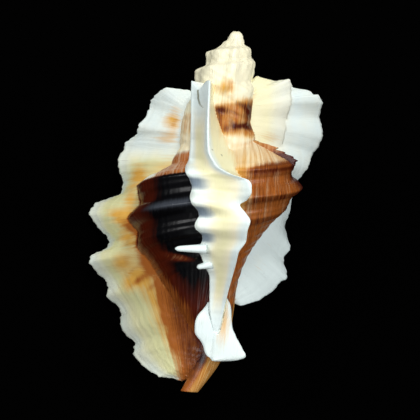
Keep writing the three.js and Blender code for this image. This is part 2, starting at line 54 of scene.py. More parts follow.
# Growth of the body whorl
LIP_AZIMUTH = -112
LEFT_LIMB_TURN = 0.06
RIGHT_LIMB_TURN = 0.56

# Section of the whorl from the top of the ramp to the canal: (down, out) on the left side of
# the shell and, for the same point half a turn earlier, on the right side
WHORL_STATIONS = [
    ((27.2, 8.6), (21.9, 4.7)),
    ((30.5, 13.7), (24.2, 10.0)),
    ((33.6, 17.8), (26.4, 14.1)),
    ((37.2, 17.0), (28.6, 13.4)),
    ((40.4, 19.3), (31.3, 15.9)),
    ((43.0, 17.0), (33.2, 13.9)),
    ((45.8, 17.0), (35.6, 12.9)),
    ((48.0, 14.8), (37.6, 10.9)),
    ((51.0, 12.5), (41.3, 8.1)),
    ((54.0, 10.4), (44.2, 6.3)),
    ((60.0, 6.4), (49.2, 4.5)),
    ((66.0, 4.4), (54.5, 3.6)),
    ((74.0, 3.0), (62.0, 3.0)),
]
WHORL_LEFT, WHORL_RIGHT = np.array(WHORL_STATIONS).swapaxes(0, 1)
BODY_END = 66
BODY_ROUNDING = 58

# Spire: its outline (down, out) on the right and on the left, and how its whorls wind
SPIRE_RIGHT = [
    (0, 0.3), (0.8, 1.2), (2.7, 1.9), (3.8, 3.0), (5.5, 3.7), (8.4, 4.2), (15, 4.7), (22, 5.3),
    (28, 4.5), (40, 1.5),
]
SPIRE_LEFT = [
    (0, 0.3), (0.8, 1.2), (1.9, 1.7), (3.3, 2.9), (4.7, 5.0), (7.0, 5.9), (8.7, 6.8), (11.1, 7.5),
    (16, 9.2), (20.6, 11.0), (25.6, 12.0), (28.5, 11.6), (34, 8), (42, 1.5),
]
SPIRE_SHOULDER_DOWN = 21.3
SPIRE_PITCH = 0.615
SPIRE_STEP_DEPTH = 0.18
SPIRE_RAMP_SHARE = 0.3
SPIRE_WALL_TAPER = 0.95
SPIRE_STEPS_BEGIN = (0.5, 3)
SPIRE_RIDGES_END = (10, 16)
VARIX_ROWS = (-112, -2, 118)
VARIX_RIDGE = 0.25
VARIX_RIDGE_WIDTH = 13

# Wings: margin points (down, across) as seen from above, and the margin's azimuth along it
LEFT_WING = {
    "margin_azimuth": [(13, -113), (38, -121.5), (50, -119.5), (62, -130), (69, -129), (73, -118)],
    "root_azimuth": -101,
    "margin": [
        (14.6, 5.6), (12.9, 8.6), (12.6, 13.2), (13.4, 14.7), (15.4, 17.2), (19.1, 17.5),
        (22.6, 18.9), (24.4, 22.1), (27.6, 22.2), (31.5, 21.5), (35.3, 22.2), (36.8, 25.4),
        (37.5, 26.9), (39.6, 27.4), (42.0, 26.2), (45.6, 23.7), (47.1, 24.0), (48.5, 26.4),
        (50.1, 26.6), (52.5, 25.4), (55.5, 22.4), (57.1, 22.7), (58.9, 20.4), (62.1, 19.5),
        (64.5, 18.5), (66.2, 16.6), (68.9, 16.0), (71.3, 13.7), (72.8, 10.8), (72.8, 8.0),
        (73.2, 5.9),
    ],
    "root_down": [
        (0, 15), (0.14, 18), (0.3, 27), (0.45, 37), (0.6, 46), (0.75, 56), (0.9, 66), (1, 71.5),
    ],
    "lobes": [12, 21, 29, 40.2, 49.8, 57, 63.5, 69, 75],
    "fold_depth": 1.3,
    "rows": 190,
    "columns": 34,
}
RIGHT_WING = {
    "margin_azimuth": [(9, 118), (20, 128.5), (50, 128), (57, 120)],
    "root_azimuth": 103,
    "margin": [
        (11.5, 3.5), (8.8, 4.8), (9.9, 6.1), (10.3, 8.0), (9.4, 11.3), (10.5, 12.2), (10.7, 16.1),
        (11.5, 16.6), (11.3, 17.8), (13.1, 19.1), (16.8, 19.4), (21.7, 19.5), (25.5, 17.7),
        (28.8, 15.4), (33.2, 13.8), (38.7, 13.4), (44.2, 14.3), (45.8, 13.5), (48.8, 14.5),
        (50.6, 14.0), (51.2, 12.6), (53.7, 11.5), (55.4, 9.0), (56.8, 4.9), (56.0, 2.7),
    ],
    "root_down": [(0, 11), (0.27, 15), (0.5, 26), (0.75, 41), (0.9, 49), (1, 54)],
    "lobes": [12, 19, 28, 36, 44, 51, 58],
    "fold_depth": 0.7,
    "rows": 150,
    "columns": 28,
}
SPIRE_EAR = {
    "margin_azimuth": [(9, 108), (20, 114), (27, 110)],
    "root_azimuth": 84,
    "margin": [
        (10.5, 3.5), (9.0, 4.8), (9.6, 8.5), (8.9, 11.7), (10.2, 12.5), (13.5, 12.4), (17.5, 11.9),
        (21.0, 11.5), (24.5, 11.2), (26.5, 7.7),
    ],
    "root_down": [(0, 11), (0.5, 16), (1, 24.5)],
    "lobes": [8, 14, 20, 26],
    "fold_depth": 0.35,
    "rows": 60,
    "columns": 18,
}
WING_ROOT_THICKNESS = 2.6
WING_EDGE_THICKNESS = 0.55
ROOT_EMBED = 1.4
FOLDS_CALM = (53, 60)
CALMED = 0.65

# How steeply things change from a wing's root to its margin, as powers of the share across
FOLD_GROWTH = 1.3
TURN_GROWTH = 0.8
THINNING = 0.6

# Least distances from the axis, of a wing's turned points and of its root
LEAST_REACH = 2
LEAST_ROOT_OUT = 1

# The wing on the back: (down, across) and (down, height) lines as seen from above
STRIP_LIP_EDGE = [
    (11.8, -8.6), (21.3, -8.0), (25.7, -7.8), (30.3, -8.2), (33.7, -7.0), (36.7, -6.6),
    (39.2, -5.2), (41.1, -5.4), (43.7, -4.2), (47.0, -4.2), (49.9, -2.4), (52.2, -1.8),
    (57.5, -1.4), (63.5, 0.2),
]
STRIP_CREST = [
    (11.8, -4.8), (19.1, -4.6), (25.5, -4.1), (29.0, -2.2), (30.5, 0.8), (31.4, 4.2), (32.4, 4.9),
    (33.8, 5.0), (35.4, 4.2), (36.4, 2.9), (38.0, 4.2), (39.6, 5.2), (41.5, 4.8), (43.5, 4.7),
    (46.0, 3.4), (48.0, 3.1), (54.1, 2.0), (60.5, 1.1), (63.5, 0.6),
]
STRIP_CREST_HEIGHT = [
    (11.8, 9.8), (14.0, 11.8), (19.0, 14.4), (25.0, 16.8), (29.0, 19.3), (32.4, 21.5), (34.0, 21.2),
    (36.4, 19.0), (39.6, 20.8), (43.5, 18.6), (46.0, 17.0), (50.0, 13.4), (54.0, 9.8), (57.0, 7.6),
    (60.5, 5.8), (63.5, 4.6),
]
STRIP_REAR_FOOT = [
    (11.8, -3.6), (14.5, -3.6), (17.4, -2.9), (21.3, -1.2), (23.6, 0.2), (26.8, 2.6), (32.0, 3.2),
    (44.0, 2.4), (50.0, 1.8), (59.0, 1.8), (63.5, 1.0),
]
STRIP_LIP_HEIGHT = 1.9
STRIP_LIP_OVERHANG = 0.4
STRIP_FOOT_HEIGHT = 0.6
STRIP_CREST_THICKNESS = 0.25
STRIP_TOP = 11.8
STRIP_BOTTOM = 63.5
STRIP_ROWS = 190
STRIP_COLUMNS = 18

# How its two sides curve between lip or foot and crest, as powers of the share of the way up
FRONT_ACROSS = 0.85
FRONT_RISE = 1.25
REAR_ACROSS = 0.9
REAR_RISE = 1.1

# Tooth and spike on the old lip edge: (down, across, height). The tip is rounded off past a
# share of the way along.
LIP_TOOTH = {"base": (45.6, -3.0, 13.2), "tip": (46.1, -9.3, 13.6), "radius": 1.0}
LIP_SPIKE = {"base": (48.6, -1.6, 10.6), "tip": (49.5, -4.6, 10.8), "radius": 0.9}
THORN_TAPER = 0.5
THORN_ROUND_FROM = 0.85
THORN_ROUND_LENGTH = 0.16
THORN_RINGS = 14
THORN_SIDES = 16

# Jagged scale that stands along the ramp's right edge
SCALE_AZIMUTH = 68
SCALE_TOP = 22.6
SCALE_BOTTOM = 27.4
SCALE_EMBED = 0.9
SCALE_HEIGHT = 1.5
SCALE_LEAN = 0.5
SCALE_THICKNESS = 0.7
SCALE_ARCH = 0.5
SCALE_JAGS = 0.7
SCALE_ROWS = 50
SCALE_COLUMNS = 8

# Fish-tail end of the old canal
FAN_LEFT = [
    (55.5, -1.2), (57.5, -2.0), (59.7, -3.5), (61.3, -3.8), (62.8, -3.7), (65.0, -2.1), (67.5, -1.1),
    (68.4, 0.1),
]
FAN_RIGHT = [
    (55.5, 1.9), (57.2, 2.7), (61.1, 3.3), (62.8, 4.1), (65.6, 5.9), (66.7, 6.5), (67.3, 5.4),
    (68.0, 0.6),
]
FAN_HEIGHT = [(55.5, 5.0), (60.0, 4.8), (64.0, 4.2), (68.4, 3.4)]
FAN_THICKNESS = 1.3
FAN_TOP = 55.5
FAN_BOTTOM = 68.2
FAN_RIDGE = 0.8
FAN_RIDGE_LOSS = 0.6
FAN_KEEL = 2.5
FAN_ROWS = 60
FAN_COLUMNS = 26

# The last canal: (down, across, height, radius)
CANAL = [
    (42, 0.4, 2.0, 2.6), (50, 0.2, -0.6, 3.9), (55, 0.2, -1.3, 3.7), (60, 0.2, -1.6, 3.4),
    (65, 0.0, -1.6, 3.0), (69, -1.0, -1.4, 2.6), (72, -2.4, -1.0, 2.2), (75.2, -4.2, -0.6, 1.8),
]
CANAL_SIDES = 32
CANAL_ROWS = 80

# Aperture
APERTURE_DOWN = 40
APERTURE_OUT = 11.4
APERTURE_HALF_HEIGHT = 8.6
APERTURE_HALF_WIDTH = 4.9
APERTURE_PINCH = 0.28
APERTURE_SHRINK = 0.5
RIM_STEPS = [(0.012, 1.25), (0.0, 1.25), (-0.006, 1.22), (-0.011, 1.16), (-0.013, 1.08)]
LUMEN_MOUTH_TURNS = -0.035
LUMEN_TAPER = 0.55
LUMEN_TAPER_POWER = 2.2
LUMEN_TURNS = 0.42
LUMEN_STEPS = 60
LUMEN_SIDES = 48
LIP_TEETH = 7
LIP_TOOTH_RADIUS = 0.8
LIP_TEETH_ANGLES = (42, 140)
LIP_TEETH_REACH = 0.98
LIP_TEETH_BEHIND = 4
LIP_TEETH_SIDES = 14
LIP_TEETH_RINGS = 9
LIP_TEETH_TILT = 1.35

# Body grid
BODY_COLUMNS = 210
BODY_ROWS = 230
BODY_TOP = 0.25
BODY_BOTTOM = 65.85
BODY_ROW_SPREAD = 0.18
BODY_LEAST_OUT = 0.2
LIP_STEP_START = 0.3
LIP_STEP_TURN = 359

# Steps of the table of the body's radius, and how a height above the axis is found from it
TABLE_STEP = 0.2
HEIGHT_ROUNDS = 8
HEIGHT_REACH = 1.05

# Pose at rest
AXIS_LEAN = 4.3
REST_PITCH = -1.23
REST_ROLL = 0.54

# Parts of the surface
BODY, LEFT, RIGHT, EAR, STRIP, FAN, CANAL_TUBE, LUMEN, RIM, THORN, SCALE = range(11)

# Uneven steps of the wings' margins: parts, the ripple's run, wave and seed, and its depth
MARGIN_EDGE = 0.72
MARGIN_STEPS = [
    ((LEFT,), 120, 3.1, 0.8, 0.30), ((LEFT,), 120, 1.1, 2.8, 0.16), ((RIGHT, EAR), 80, 2.1, 1.6, 0.22),
]

# Prongs and notch of the old wing's upper end: (across, width)
TOP_PRONGS = [(-8.7, 0.5), (-5.2, 0.8)]
TOP_NOTCH = (-7.0, 0.9)
PRONG_RISE = 0.5
NOTCH_DEPTH = 1.3
PRONG_REACH = 3

# Depths of the fine relief
CORD_DEPTH = 0.07
GROWTH_DEPTH = 0.07
BODY_FIBRE_DEPTH = 0.16
KNOB_DEPTH = 0.09
RIB_DEPTHS = (0.07, 0.14)
LAMELLA_DEPTH = 0.06
WING_FIBRE_DEPTH = 0.14
PALE_LAMELLA_DEPTH = 0.05
PALE_RIB_DEPTH = 0.07
DENTICLE_DEPTH = 0.42
STRIP_DEPTH = 0.03
FAN_CREASE_DEPTH = 0.35
FAN_LINE_DEPTH = 0.05

# The crease along the fan: (down, across)
FAN_CREASE = [(57, 0.4), (62, -0.2), (68, -0.6)]
FAN_CREASE_WIDTH = 0.9

# Small teeth of the old lip: levels of their middles
DENTICLES = (24.0, 29.6, 35.8, 41.1, 45.9, 49.5, 53.0)

# Where the fibres of the lower left run together: (across, down)
FIBRE_MEETING = (-4.0, 79.0)

# Outer limits of the gold, the brown and the dark on the left: (down, across). The dark runs
# over the body and the wing.
GOLD_LIMIT = [
    (12, -10), (20, -12.5), (26, -14), (31, -19.7), (39.5, -22.7), (42.8, -21.7), (48.8, -21.5),
    (53.5, -19.2), (58.2, -14.4), (64, -11.4), (70.2, -7.4), (75, -6),
]
BROWN_LIMIT = [
    (12, -6), (24, -9), (31, -15.5), (36, -17.2), (42.5, -17.8), (49, -15.3), (53.7, -12.3),
    (60.2, -10.2), (65.1, -8.4), (69.7, -6.9), (75, -6.0),
]
DARK_LIMIT = [
    (40, -19.5), (44.8, -17.0), (47.1, -15.2), (49.2, -12.8), (51.1, -11.4), (54.5, -8.2),
    (57.9, -5.4), (61.3, -4.2), (65.9, -2.2),
]

# The slanting edge of the pale veil above the shoulder, and the crack: (down, across)
VEIL_SLANT = 0.41
VEIL_LEVEL = 25.4
CRACK = [(12.5, -7.1), (15, -6.9), (16.3, -6.5), (17, -5.8)]
CRACK_TOP = 12
CRACK_WIDTH = 0.22

# Blots as seen from above: (across, down, half width, half length, slant in degrees, amount)
SPIRE_MOTTLE = [
    (3.9, 16.9, 1.3, 2.4, 0, 0.9), (1.7, 15.4, 2.1, 0.8, 25, 0.55), (-2.0, 17.0, 1.7, 0.9, 10, 0.75),
    (-2.4, 18.9, 0.9, 1.8, -15, 0.5), (3.2, 19.9, 2.2, 0.8, 0, 0.8), (1.0, 20.3, 1.1, 0.8, 0, 0.6),
    (-0.8, 20.9, 0.8, 1.0, 0, 0.55), (1.1, 17.5, 1.5, 0.5, 20, 0.4), (0.2, 19.0, 0.7, 1.0, -30, 0.3),
]
LEFT_GOLD = [
    (-12.3, 18.8, 1.5, 2.6, 25, 0.6), (-11.3, 20.8, 1.2, 2.4, 10, 0.5), (-13.2, 23.4, 2.4, 1.2, 0, 0.55),
    (-18.2, 31.1, 1.6, 2.4, 0, 0.7), (-20.9, 40.2, 3.4, 1.6, 20, 0.9), (-19.5, 44.5, 2.2, 1.6, 30, 0.6),
    (-20.5, 49.8, 2.2, 2.0, 0, 0.7), (-17.5, 53.0, 3.2, 1.8, -43, 0.7), (-19.5, 36.0, 1.2, 3.0, 0, 0.5),
]
LEFT_BROWN = [
    (-18.9, 42.0, 2.4, 1.3, 30, 0.75), (-16.1, 52.8, 3.2, 0.9, -42, 0.5), (-16.7, 53.2, 1.3, 0.6, -42, 0.3),
    (-18.0, 51.2, 1.8, 0.5, -42, 0.35), (-13.6, 54.2, 2.0, 0.6, -42, 0.35), (-11.5, 56.8, 0.9, 2.4, -10, 0.6),
    (-16.4, 46.6, 2.2, 1.2, 35, 0.5), (-15.2, 49.8, 2.4, 1.3, 40, 0.6), (-8.6, 64.5, 0.8, 2.6, -12, 0.6),
    (-10.6, 60.6, 0.9, 1.6, -10, 0.6), (-19.3, 49.0, 1.2, 1.6, 0, 0.35), (-11.6, 20.2, 0.7, 1.5, 20, 0.35),
]
PALE_GOLD = [(4.4, 13.0, 0.9, 2.2, 0, 0.4), (8.5, 21.5, 2.2, 1.2, 0, 0.4)]
SPIRE_GOLD = [(-1.6, 12.4, 2.3, 1.9, 0, 0.75)]
SPIRE_BROWN = [(-0.6, 12.2, 0.8, 1.8, 0, 0.35)]
SPIRE_BAND = [(-1.4, 14.6, 3.2, 0.8, 0, 1)]
LEFT_LIGHT_SPOT = [(-8.4, 47.8, 3.0, 0.7, 5, 1)]
FAN_GOLD = [(1.8, 60.5, 1.2, 5.5, -3, 0.65)]
GRIME_SPECKS = [
    (across, down, 0.2, 0.2, 0, 1)
    for across, down in ((-25.4, 43.0), (-3.2, 25.7), (-4.8, 47.6), (-15.9, 70.2), (-1.3, 26.6))
]

# Colours, as the photograph shows them
CREAM = "EEE8CC"
YELLOW = "E6E2B4"
BLUE_WHITE = "DAE7E5"
GREEN_CREAM = "D3D2A0"
GOLD = "D9A64E"
ORANGE_BROWN = "A65F27"
RED_BROWN = "4A1708"
PLUM = "34181A"
NEAR_BLACK = "060608"
# Painted reflection: a grey that stands for light reflected off the black side
PAINTED_SHEEN = "3B3F46"
# Painted shade for the gaps between the old lip's small teeth
HOLLOW_SHADE_GREY = "6F7C88"
GRIME = "6B6A4A"

# Marks in the order in which they cover each other: name, colour, the noise that makes their
# borders ragged, how ragged they are, and how steep
MARK_LAYERS = [
    ("yellow", YELLOW, "clouds", 0.5, 1.4),
    ("green", GREEN_CREAM, "clouds", 0.5, 1.4),
    ("blue", BLUE_WHITE, "clouds", 0.5, 1.4),
    ("gold", GOLD, "streaks", 1.0, 1.5),
    ("brown", ORANGE_BROWN, "streaks", 1.1, 1.7),
    ("dark", RED_BROWN, "threads", 1.2, 1.6),
    ("plum", PLUM, "patches", 0.8, 1.4),
    ("black", NEAR_BLACK, "streaks", 0.7, 2.2),
    ("sheen", PAINTED_SHEEN, "threads", 1.0, 1.4),
    ("grey", HOLLOW_SHADE_GREY, "clouds", 0.4, 1.3),
    ("grime", GRIME, "clouds", 0.3, 2.0),
]

# Finish of the shell, of the fine lines on it, and of the floor below it
SHELL_FINISH = {"Roughness": 0.34, "Specular IOR Level": 0.16, "Coat Weight": 0.08, "Coat Roughness": 0.2}
SHELL_LINES = {"Strength": 0.22, "Distance": 0.0003}
FLOOR_FINISH = {"Base Color": (0.0004, 0.0004, 0.0004, 1), "Roughness": 0.9, "Specular IOR Level": 0}
FLOOR_REACH = 1

# Camera above the shell, at the photograph's framing, and lights with their places, sizes and
# powers. Places and sizes without MM in their names are in metres.
PHOTO_WIDTH_MM = 86.3
PHOTO_CENTRE_MM = (0.85, 0.36)
CAMERA_HEIGHT = 0.62
FRAMED_HEIGHT = 0.02
CAMERA_LENS = 250
LIGHTS = [
    ("key", (0.10, 0.40, 0.42), 0.18, 2.35),
    ("left", (-0.36, 0.10, 0.34), 0.22, 1.32),
    ("right", (0.36, 0.02, 0.34), 0.22, 1.25),
    ("front", (0.0, -0.34, 0.40), 0.25, 0.66),
]
WORLD = {"Color": (0.9, 0.93, 1.0, 1), "Strength": 0.1}


# 0 up to low and 1 from high on, with a smooth rise between them
def ease(x, low, high):
    share = np.clip((x - low) / (high - low), 0, 1)
    return share * share * (3 - 2 * share)


def lerp(a, b, share):
    return a + (b - a) * share


# Even steps from 0 to 1
def shares(count):
    return np.linspace(0, 1, count + 1)


def circle(sides):
    return np.linspace(0, 2 * math.pi, sides, endpoint=False)


# Values at x of the straight-line curve through sorted (x, value) points
def along(points, x):
    corners = np.asarray(points, dtype=float)
    return np.interp(x, corners[:, 0], corners[:, 1])


# Values at x of the smooth curve through sorted (x, value) points, with no overshoot
def smooth_along(points, x):
    corners = np.asarray(points, dtype=float)
    knots = corners[:, 0]
    values = corners[:, 1]
    widths = np.diff(knots)
    slopes = np.diff(values) / widths
    before = slopes[:-1]
    after = slopes[1:]
    total = np.where(before + after == 0, 1, before + after)
    inner = np.where(before * after <= 0, 0, 2 * before * after / total)
    tangents = np.concatenate(([slopes[0]], inner, [slopes[-1]]))
    x = np.clip(x, knots[0], knots[-1])
    i = np.clip(np.searchsorted(knots, x, side="right") - 1, 0, len(widths) - 1)
    f = (x - knots[i]) / widths[i]
    start = values[i] * (1 + 2 * f) * (1 - f) ** 2 + tangents[i] * widths[i] * f * (1 - f) ** 2
    end = values[i + 1] * f * f * (3 - 2 * f) + tangents[i + 1] * widths[i] * f * f * (f - 1)
    return start + end


# The points at these levels, distances across and heights, with the apex at the origin and the
# axis on -Y
def at(down, across, height):
    return np.stack(np.broadcast_arrays(across, np.negative(down), height), axis=-1)


# The points at the given places around the axis
def place(down, out, azimuth):
    angle = np.radians(azimuth)
    return at(down, out * np.sin(angle), out * np.cos(angle))

# Turns grown since the shell passed this azimuth, from 0 at the lip up to 1
def turns_back(azimuth):
    turn = (azimuth - LIP_AZIMUTH) / 360
    return turn - np.floor(turn)


# Half turns grown between the left limb and the place this many turns behind the lip
def half_turns_back(turns):
    return (turns - LEFT_LIMB_TURN) / (RIGHT_LIMB_TURN - LEFT_LIMB_TURN)


# The body whorl's section this many turns behind the lip
def whorl_section(turns):
    return WHORL_LEFT * (WHORL_RIGHT / WHORL_LEFT) ** half_turns_back(turns)


def whorl_radius(down, turns):
    section = whorl_section(turns)
    return np.where(down < section[0, 0], 0, smooth_along(section, down))


def spire_radius(down, azimuth, turns):
    to_left = (1 - math.sin(math.radians(azimuth))) / 2
    outline = lerp(smooth_along(SPIRE_RIGHT, down), smooth_along(SPIRE_LEFT, down), to_left)
    grown = np.log(SPIRE_SHOULDER_DOWN / np.maximum(down, SPIRE_STEPS_BEGIN[0])) / SPIRE_PITCH
    whorls = grown - turns + SPIRE_RAMP_SHARE
    below = 1 - (whorls - np.floor(whorls))
    ramp = ease(below, 0, SPIRE_RAMP_SHARE)
    wall = 1 - SPIRE_WALL_TAPER * np.maximum(0, below - SPIRE_RAMP_SHARE) / (1 - SPIRE_RAMP_SHARE)
    fade = ease(down, *SPIRE_STEPS_BEGIN)
    ridge = 0
    for row in VARIX_ROWS:
        apart = abs((azimuth - row + 540) % 360 - 180)
        ridge = max(ridge, math.exp(-((apart / VARIX_RIDGE_WIDTH) ** 2)))
    swell = 1 + VARIX_RIDGE * ridge * fade * (1 - ease(down, *SPIRE_RIDGES_END))
    return outline * swell * (1 - SPIRE_STEP_DEPTH * fade * (1 - ramp * wall))


# Distance from the axis to the surface of all whorls at one azimuth and many levels
def body_radius(down, azimuth):
    turns = float(turns_back(azimuth))
    radius = np.maximum(spire_radius(down, azimuth, turns), whorl_radius(down, turns))
    closing = np.maximum(0, (down - BODY_ROUNDING) / (BODY_END - BODY_ROUNDING))
    return radius * np.sqrt(np.maximum(0, 1 - closing * closing))


# A table of the body's radius, by level and azimuth, for quick reading
TABLE_DOWNS = np.arange(0, BODY_END + TABLE_STEP, TABLE_STEP)
TABLE = np.stack([body_radius(TABLE_DOWNS, azimuth) for azimuth in range(-180, 181)], axis=1)


def radius_at(down, azimuth):
    row = np.clip(np.asarray(down) / TABLE_STEP, 0, len(TABLE_DOWNS) - 1.001)
    column = np.clip(np.asarray(azimuth) + 180, 0, 359.999)
    i = row.astype(int)
    j = column.astype(int)
    near = lerp(TABLE[i, j], TABLE[i + 1, j], row - i)
    far = lerp(TABLE[i, j + 1], TABLE[i + 1, j + 1], row - i)
    return lerp(near, far, column - j)


# Height of the whorl's surface above the axis at this level and distance across
def body_height(down, across):
    azimuth = np.zeros_like(across)
    for _ in range(HEIGHT_ROUNDS):
        radius = np.maximum(radius_at(down, azimuth), np.abs(across) * HEIGHT_REACH)
        azimuth = np.degrees(np.arcsin(across / radius))
    return np.sqrt(radius * radius - across * across)


# A closed mesh and, for each vertex, its part, the share of the way across from root to
# margin, the share of the way along, and the side: 1 in front and 0 behind
class Piece:
    def __init__(self, part, vertices, faces, across, way, side):
        self.part = np.full(len(vertices), part)
        self.vertices = vertices
        self.faces = faces
        self.across = across
        self.way = way
        self.side = side


def grid_faces(rows, columns, closed):
    faces = []
    for row in range(rows - 1):
        for column in range(columns if closed else columns - 1):
            after = (column + 1) % columns
            a = row * columns + column
            b = row * columns + after
            faces.append((a, b, b + columns, a + columns))
    return faces


# A closed solid through rings of points, an array of rows by sides by 3
def loft(part, rings):
    rows, sides, _ = rings.shape
    faces = grid_faces(rows, sides, True)
    vertices = np.concatenate([rings.reshape(-1, 3), [rings[0].mean(axis=0)], [rings[-1].mean(axis=0)]])
    first = rows * sides
    for side in range(sides):
        after = (side + 1) % sides
        faces.append((after, side, first))
        faces.append(((rows - 1) * sides + side, (rows - 1) * sides + after, first + 1))
    way = np.concatenate([np.repeat(np.linspace(0, 1, rows), sides), [0, 1]])
    across = np.concatenate([np.tile(np.linspace(0, 1, sides), rows), [0, 0]])
    return Piece(part, vertices, faces, across, way, np.ones(len(vertices)))


# A closed slab between two sheets, each an array of rows by columns by 3
def slab(part, front, back):
    rows, columns, _ = front.shape
    behind = rows * columns
    faces = grid_faces(rows, columns, False)
    faces += [tuple(index + behind for index in reversed(face)) for face in faces]
    rim = list(range(columns - 1))
    rim += [row * columns + columns - 1 for row in range(rows - 1)]
    rim += [(rows - 1) * columns + column for column in range(columns - 1, 0, -1)]
    rim += [row * columns for row in range(rows - 1, 0, -1)]
    for i, a in enumerate(rim):
        b = rim[(i + 1) % len(rim)]
        faces.append((b, a, a + behind, b + behind))
    vertices = np.concatenate([front.reshape(-1, 3), back.reshape(-1, 3)])
    across = np.tile(np.linspace(0, 1, columns), 2 * rows)
    way = np.tile(np.repeat(np.linspace(0, 1, rows), columns), 2)
    side = np.repeat([1.0, 0.0], rows * columns)
    return Piece(part, vertices, faces, across, way, side)


def make_body():
    level = shares(BODY_ROWS)
    down = lerp(BODY_TOP, BODY_BOTTOM, (1 - BODY_ROW_SPREAD) * level + BODY_ROW_SPREAD * level ** 2)
    columns = []
    for column in range(BODY_COLUMNS + 1):
        azimuth = LIP_AZIMUTH + LIP_STEP_START + LIP_STEP_TURN * column / BODY_COLUMNS
        radius = np.maximum(body_radius(down, azimuth), BODY_LEAST_OUT)
        columns.append(place(down, radius, azimuth))
    return loft(BODY, np.stack(columns, axis=1))


# Points along a line of corners, evenly spaced, as shares of the way and both coordinates
def walk(corners, count):
    corners = np.asarray(corners, dtype=float)
    steps = np.hypot(*np.diff(corners, axis=0).T)
    lengths = np.concatenate(([0], np.cumsum(steps)))
    way = shares(count)
    spots = way * lengths[-1]
    return way, np.interp(spots, lengths, corners[:, 0]), np.interp(spots, lengths, corners[:, 1])


# A wave along the levels, 1 at each of these lobes and -1 halfway between two
def fold_wave(lobes, down):
    return np.cos(2 * math.pi * np.interp(down, lobes, np.arange(len(lobes))))


def make_wing(part, wing):
    way, tip_down, tip_across = walk(wing["margin"], wing["rows"])
    tip_azimuth = smooth_along(wing["margin_azimuth"], tip_down)
    tip_out = tip_across / np.abs(np.sin(np.radians(tip_azimuth)))
    root_azimuth = wing["root_azimuth"]
    root_down = along(wing["root_down"], way)
    root_out = np.maximum(body_radius(root_down, root_azimuth) - ROOT_EMBED, LEAST_ROOT_OUT)
    across = shares(wing["columns"])[None, :]
    down = lerp(root_down[:, None], tip_down[:, None], across)
    out = lerp(root_out[:, None], tip_out[:, None], across)
    depth = wing["fold_depth"] * (1 - CALMED * ease(tip_down, *FOLDS_CALM))
    fold = (depth * fold_wave(wing["lobes"], tip_down))[:, None] * across ** FOLD_GROWTH
    middle = lerp(root_azimuth, tip_azimuth[:, None], across ** TURN_GROWTH)
    half = lerp(WING_ROOT_THICKNESS, WING_EDGE_THICKNESS, across ** THINNING) / 2
    to_up = -np.sign(root_azimuth)
    reach = np.maximum(out, LEAST_REACH)
    front = place(down, out, middle + to_up * np.degrees(fold + half) / reach)
    back = place(down, out, middle + to_up * np.degrees(fold - half) / reach)
    return slab(part, front, back)


def make_strip():
    down = np.linspace(STRIP_TOP, STRIP_BOTTOM, STRIP_ROWS + 1)
    lip = smooth_along(STRIP_LIP_EDGE, down)
    crest = smooth_along(STRIP_CREST, down)
    crest_height = smooth_along(STRIP_CREST_HEIGHT, down)
    foot = smooth_along(STRIP_REAR_FOOT, down)
    lip_foot = body_height(down, lip) - ROOT_EMBED
    lip_height = body_height(down, lip) + STRIP_LIP_HEIGHT
    foot_height = body_height(down, foot) - ROOT_EMBED
    half_edge = STRIP_CREST_THICKNESS / 2
    front = [at(down, lip + STRIP_LIP_OVERHANG, lip_foot)]
    back = [at(down, foot, foot_height)]
    for column in range(STRIP_COLUMNS):
        rise = column / (STRIP_COLUMNS - 1)
        front.append(at(
            down,
            lerp(lip, crest - half_edge, rise ** FRONT_ACROSS),
            lerp(lip_height, crest_height, rise ** FRONT_RISE),
        ))
        back.append(at(
            down,
            lerp(foot, crest + half_edge, rise ** REAR_ACROSS),
            lerp(foot_height + STRIP_FOOT_HEIGHT, crest_height, rise ** REAR_RISE),
        ))
    return slab(STRIP, np.stack(front, axis=1), np.stack(back, axis=1))


def make_fan():
    level = shares(FAN_ROWS)
    left = smooth_along(FAN_LEFT, lerp(FAN_LEFT[0][0], FAN_LEFT[-1][0], level))[:, None]
    right = smooth_along(FAN_RIGHT, lerp(FAN_RIGHT[0][0], FAN_RIGHT[-1][0], level))[:, None]
    down = lerp(FAN_TOP, FAN_BOTTOM, level)[:, None]
    height = along(FAN_HEIGHT, down)
    across = shares(FAN_COLUMNS)[None, :]
    middle = np.sin(math.pi * across)
    x = lerp(left, right, across)
    top = height + FAN_RIDGE * middle * (1 - FAN_RIDGE_LOSS * level[:, None])
    bottom = height - FAN_THICKNESS - FAN_KEEL * middle * (1 - level[:, None])
    return slab(FAN, at(down, x, top), at(down, x, bottom))


def make_thorn(thorn):
    base = at(*thorn["base"])
    tip = at(*thorn["tip"])
    direction = (tip - base) / np.linalg.norm(tip - base)
    side = np.cross(direction, [0, 0, 1])
    side /= np.linalg.norm(side)
    up = np.cross(side, direction)
    rings = []
    angles = circle(THORN_SIDES)[:, None]
    for way in np.linspace(0, 1, THORN_RINGS):
        past = max(0, (way - THORN_ROUND_FROM) / THORN_ROUND_LENGTH)
        size = thorn["radius"] * (1 - THORN_TAPER * way) * math.sqrt(1 - past ** 2)
        rings.append(lerp(base, tip, way) + size * (np.cos(angles) * side + np.sin(angles) * up))
    return loft(THORN, np.array(rings))


# The jagged scale, a low blade that leans toward the apex
def make_scale():
    way = shares(SCALE_ROWS)[:, None]
    rise = shares(SCALE_COLUMNS)[None, :]
    level = lerp(SCALE_TOP, SCALE_BOTTOM, way)
    arch = np.sin(math.pi * way) ** SCALE_ARCH
    height = SCALE_HEIGHT * arch * (1 + SCALE_JAGS * ripple(level, 1.3, 0.7))
    out = radius_at(level, SCALE_AZIMUTH) - SCALE_EMBED + (SCALE_EMBED + height) * rise
    down = level - SCALE_LEAN * arch * rise
    half = np.degrees(SCALE_THICKNESS / 2 / out)
    front = place(down, out, SCALE_AZIMUTH - half)
    back = place(down, out, SCALE_AZIMUTH + half)
    return slab(SCALE, front, back)


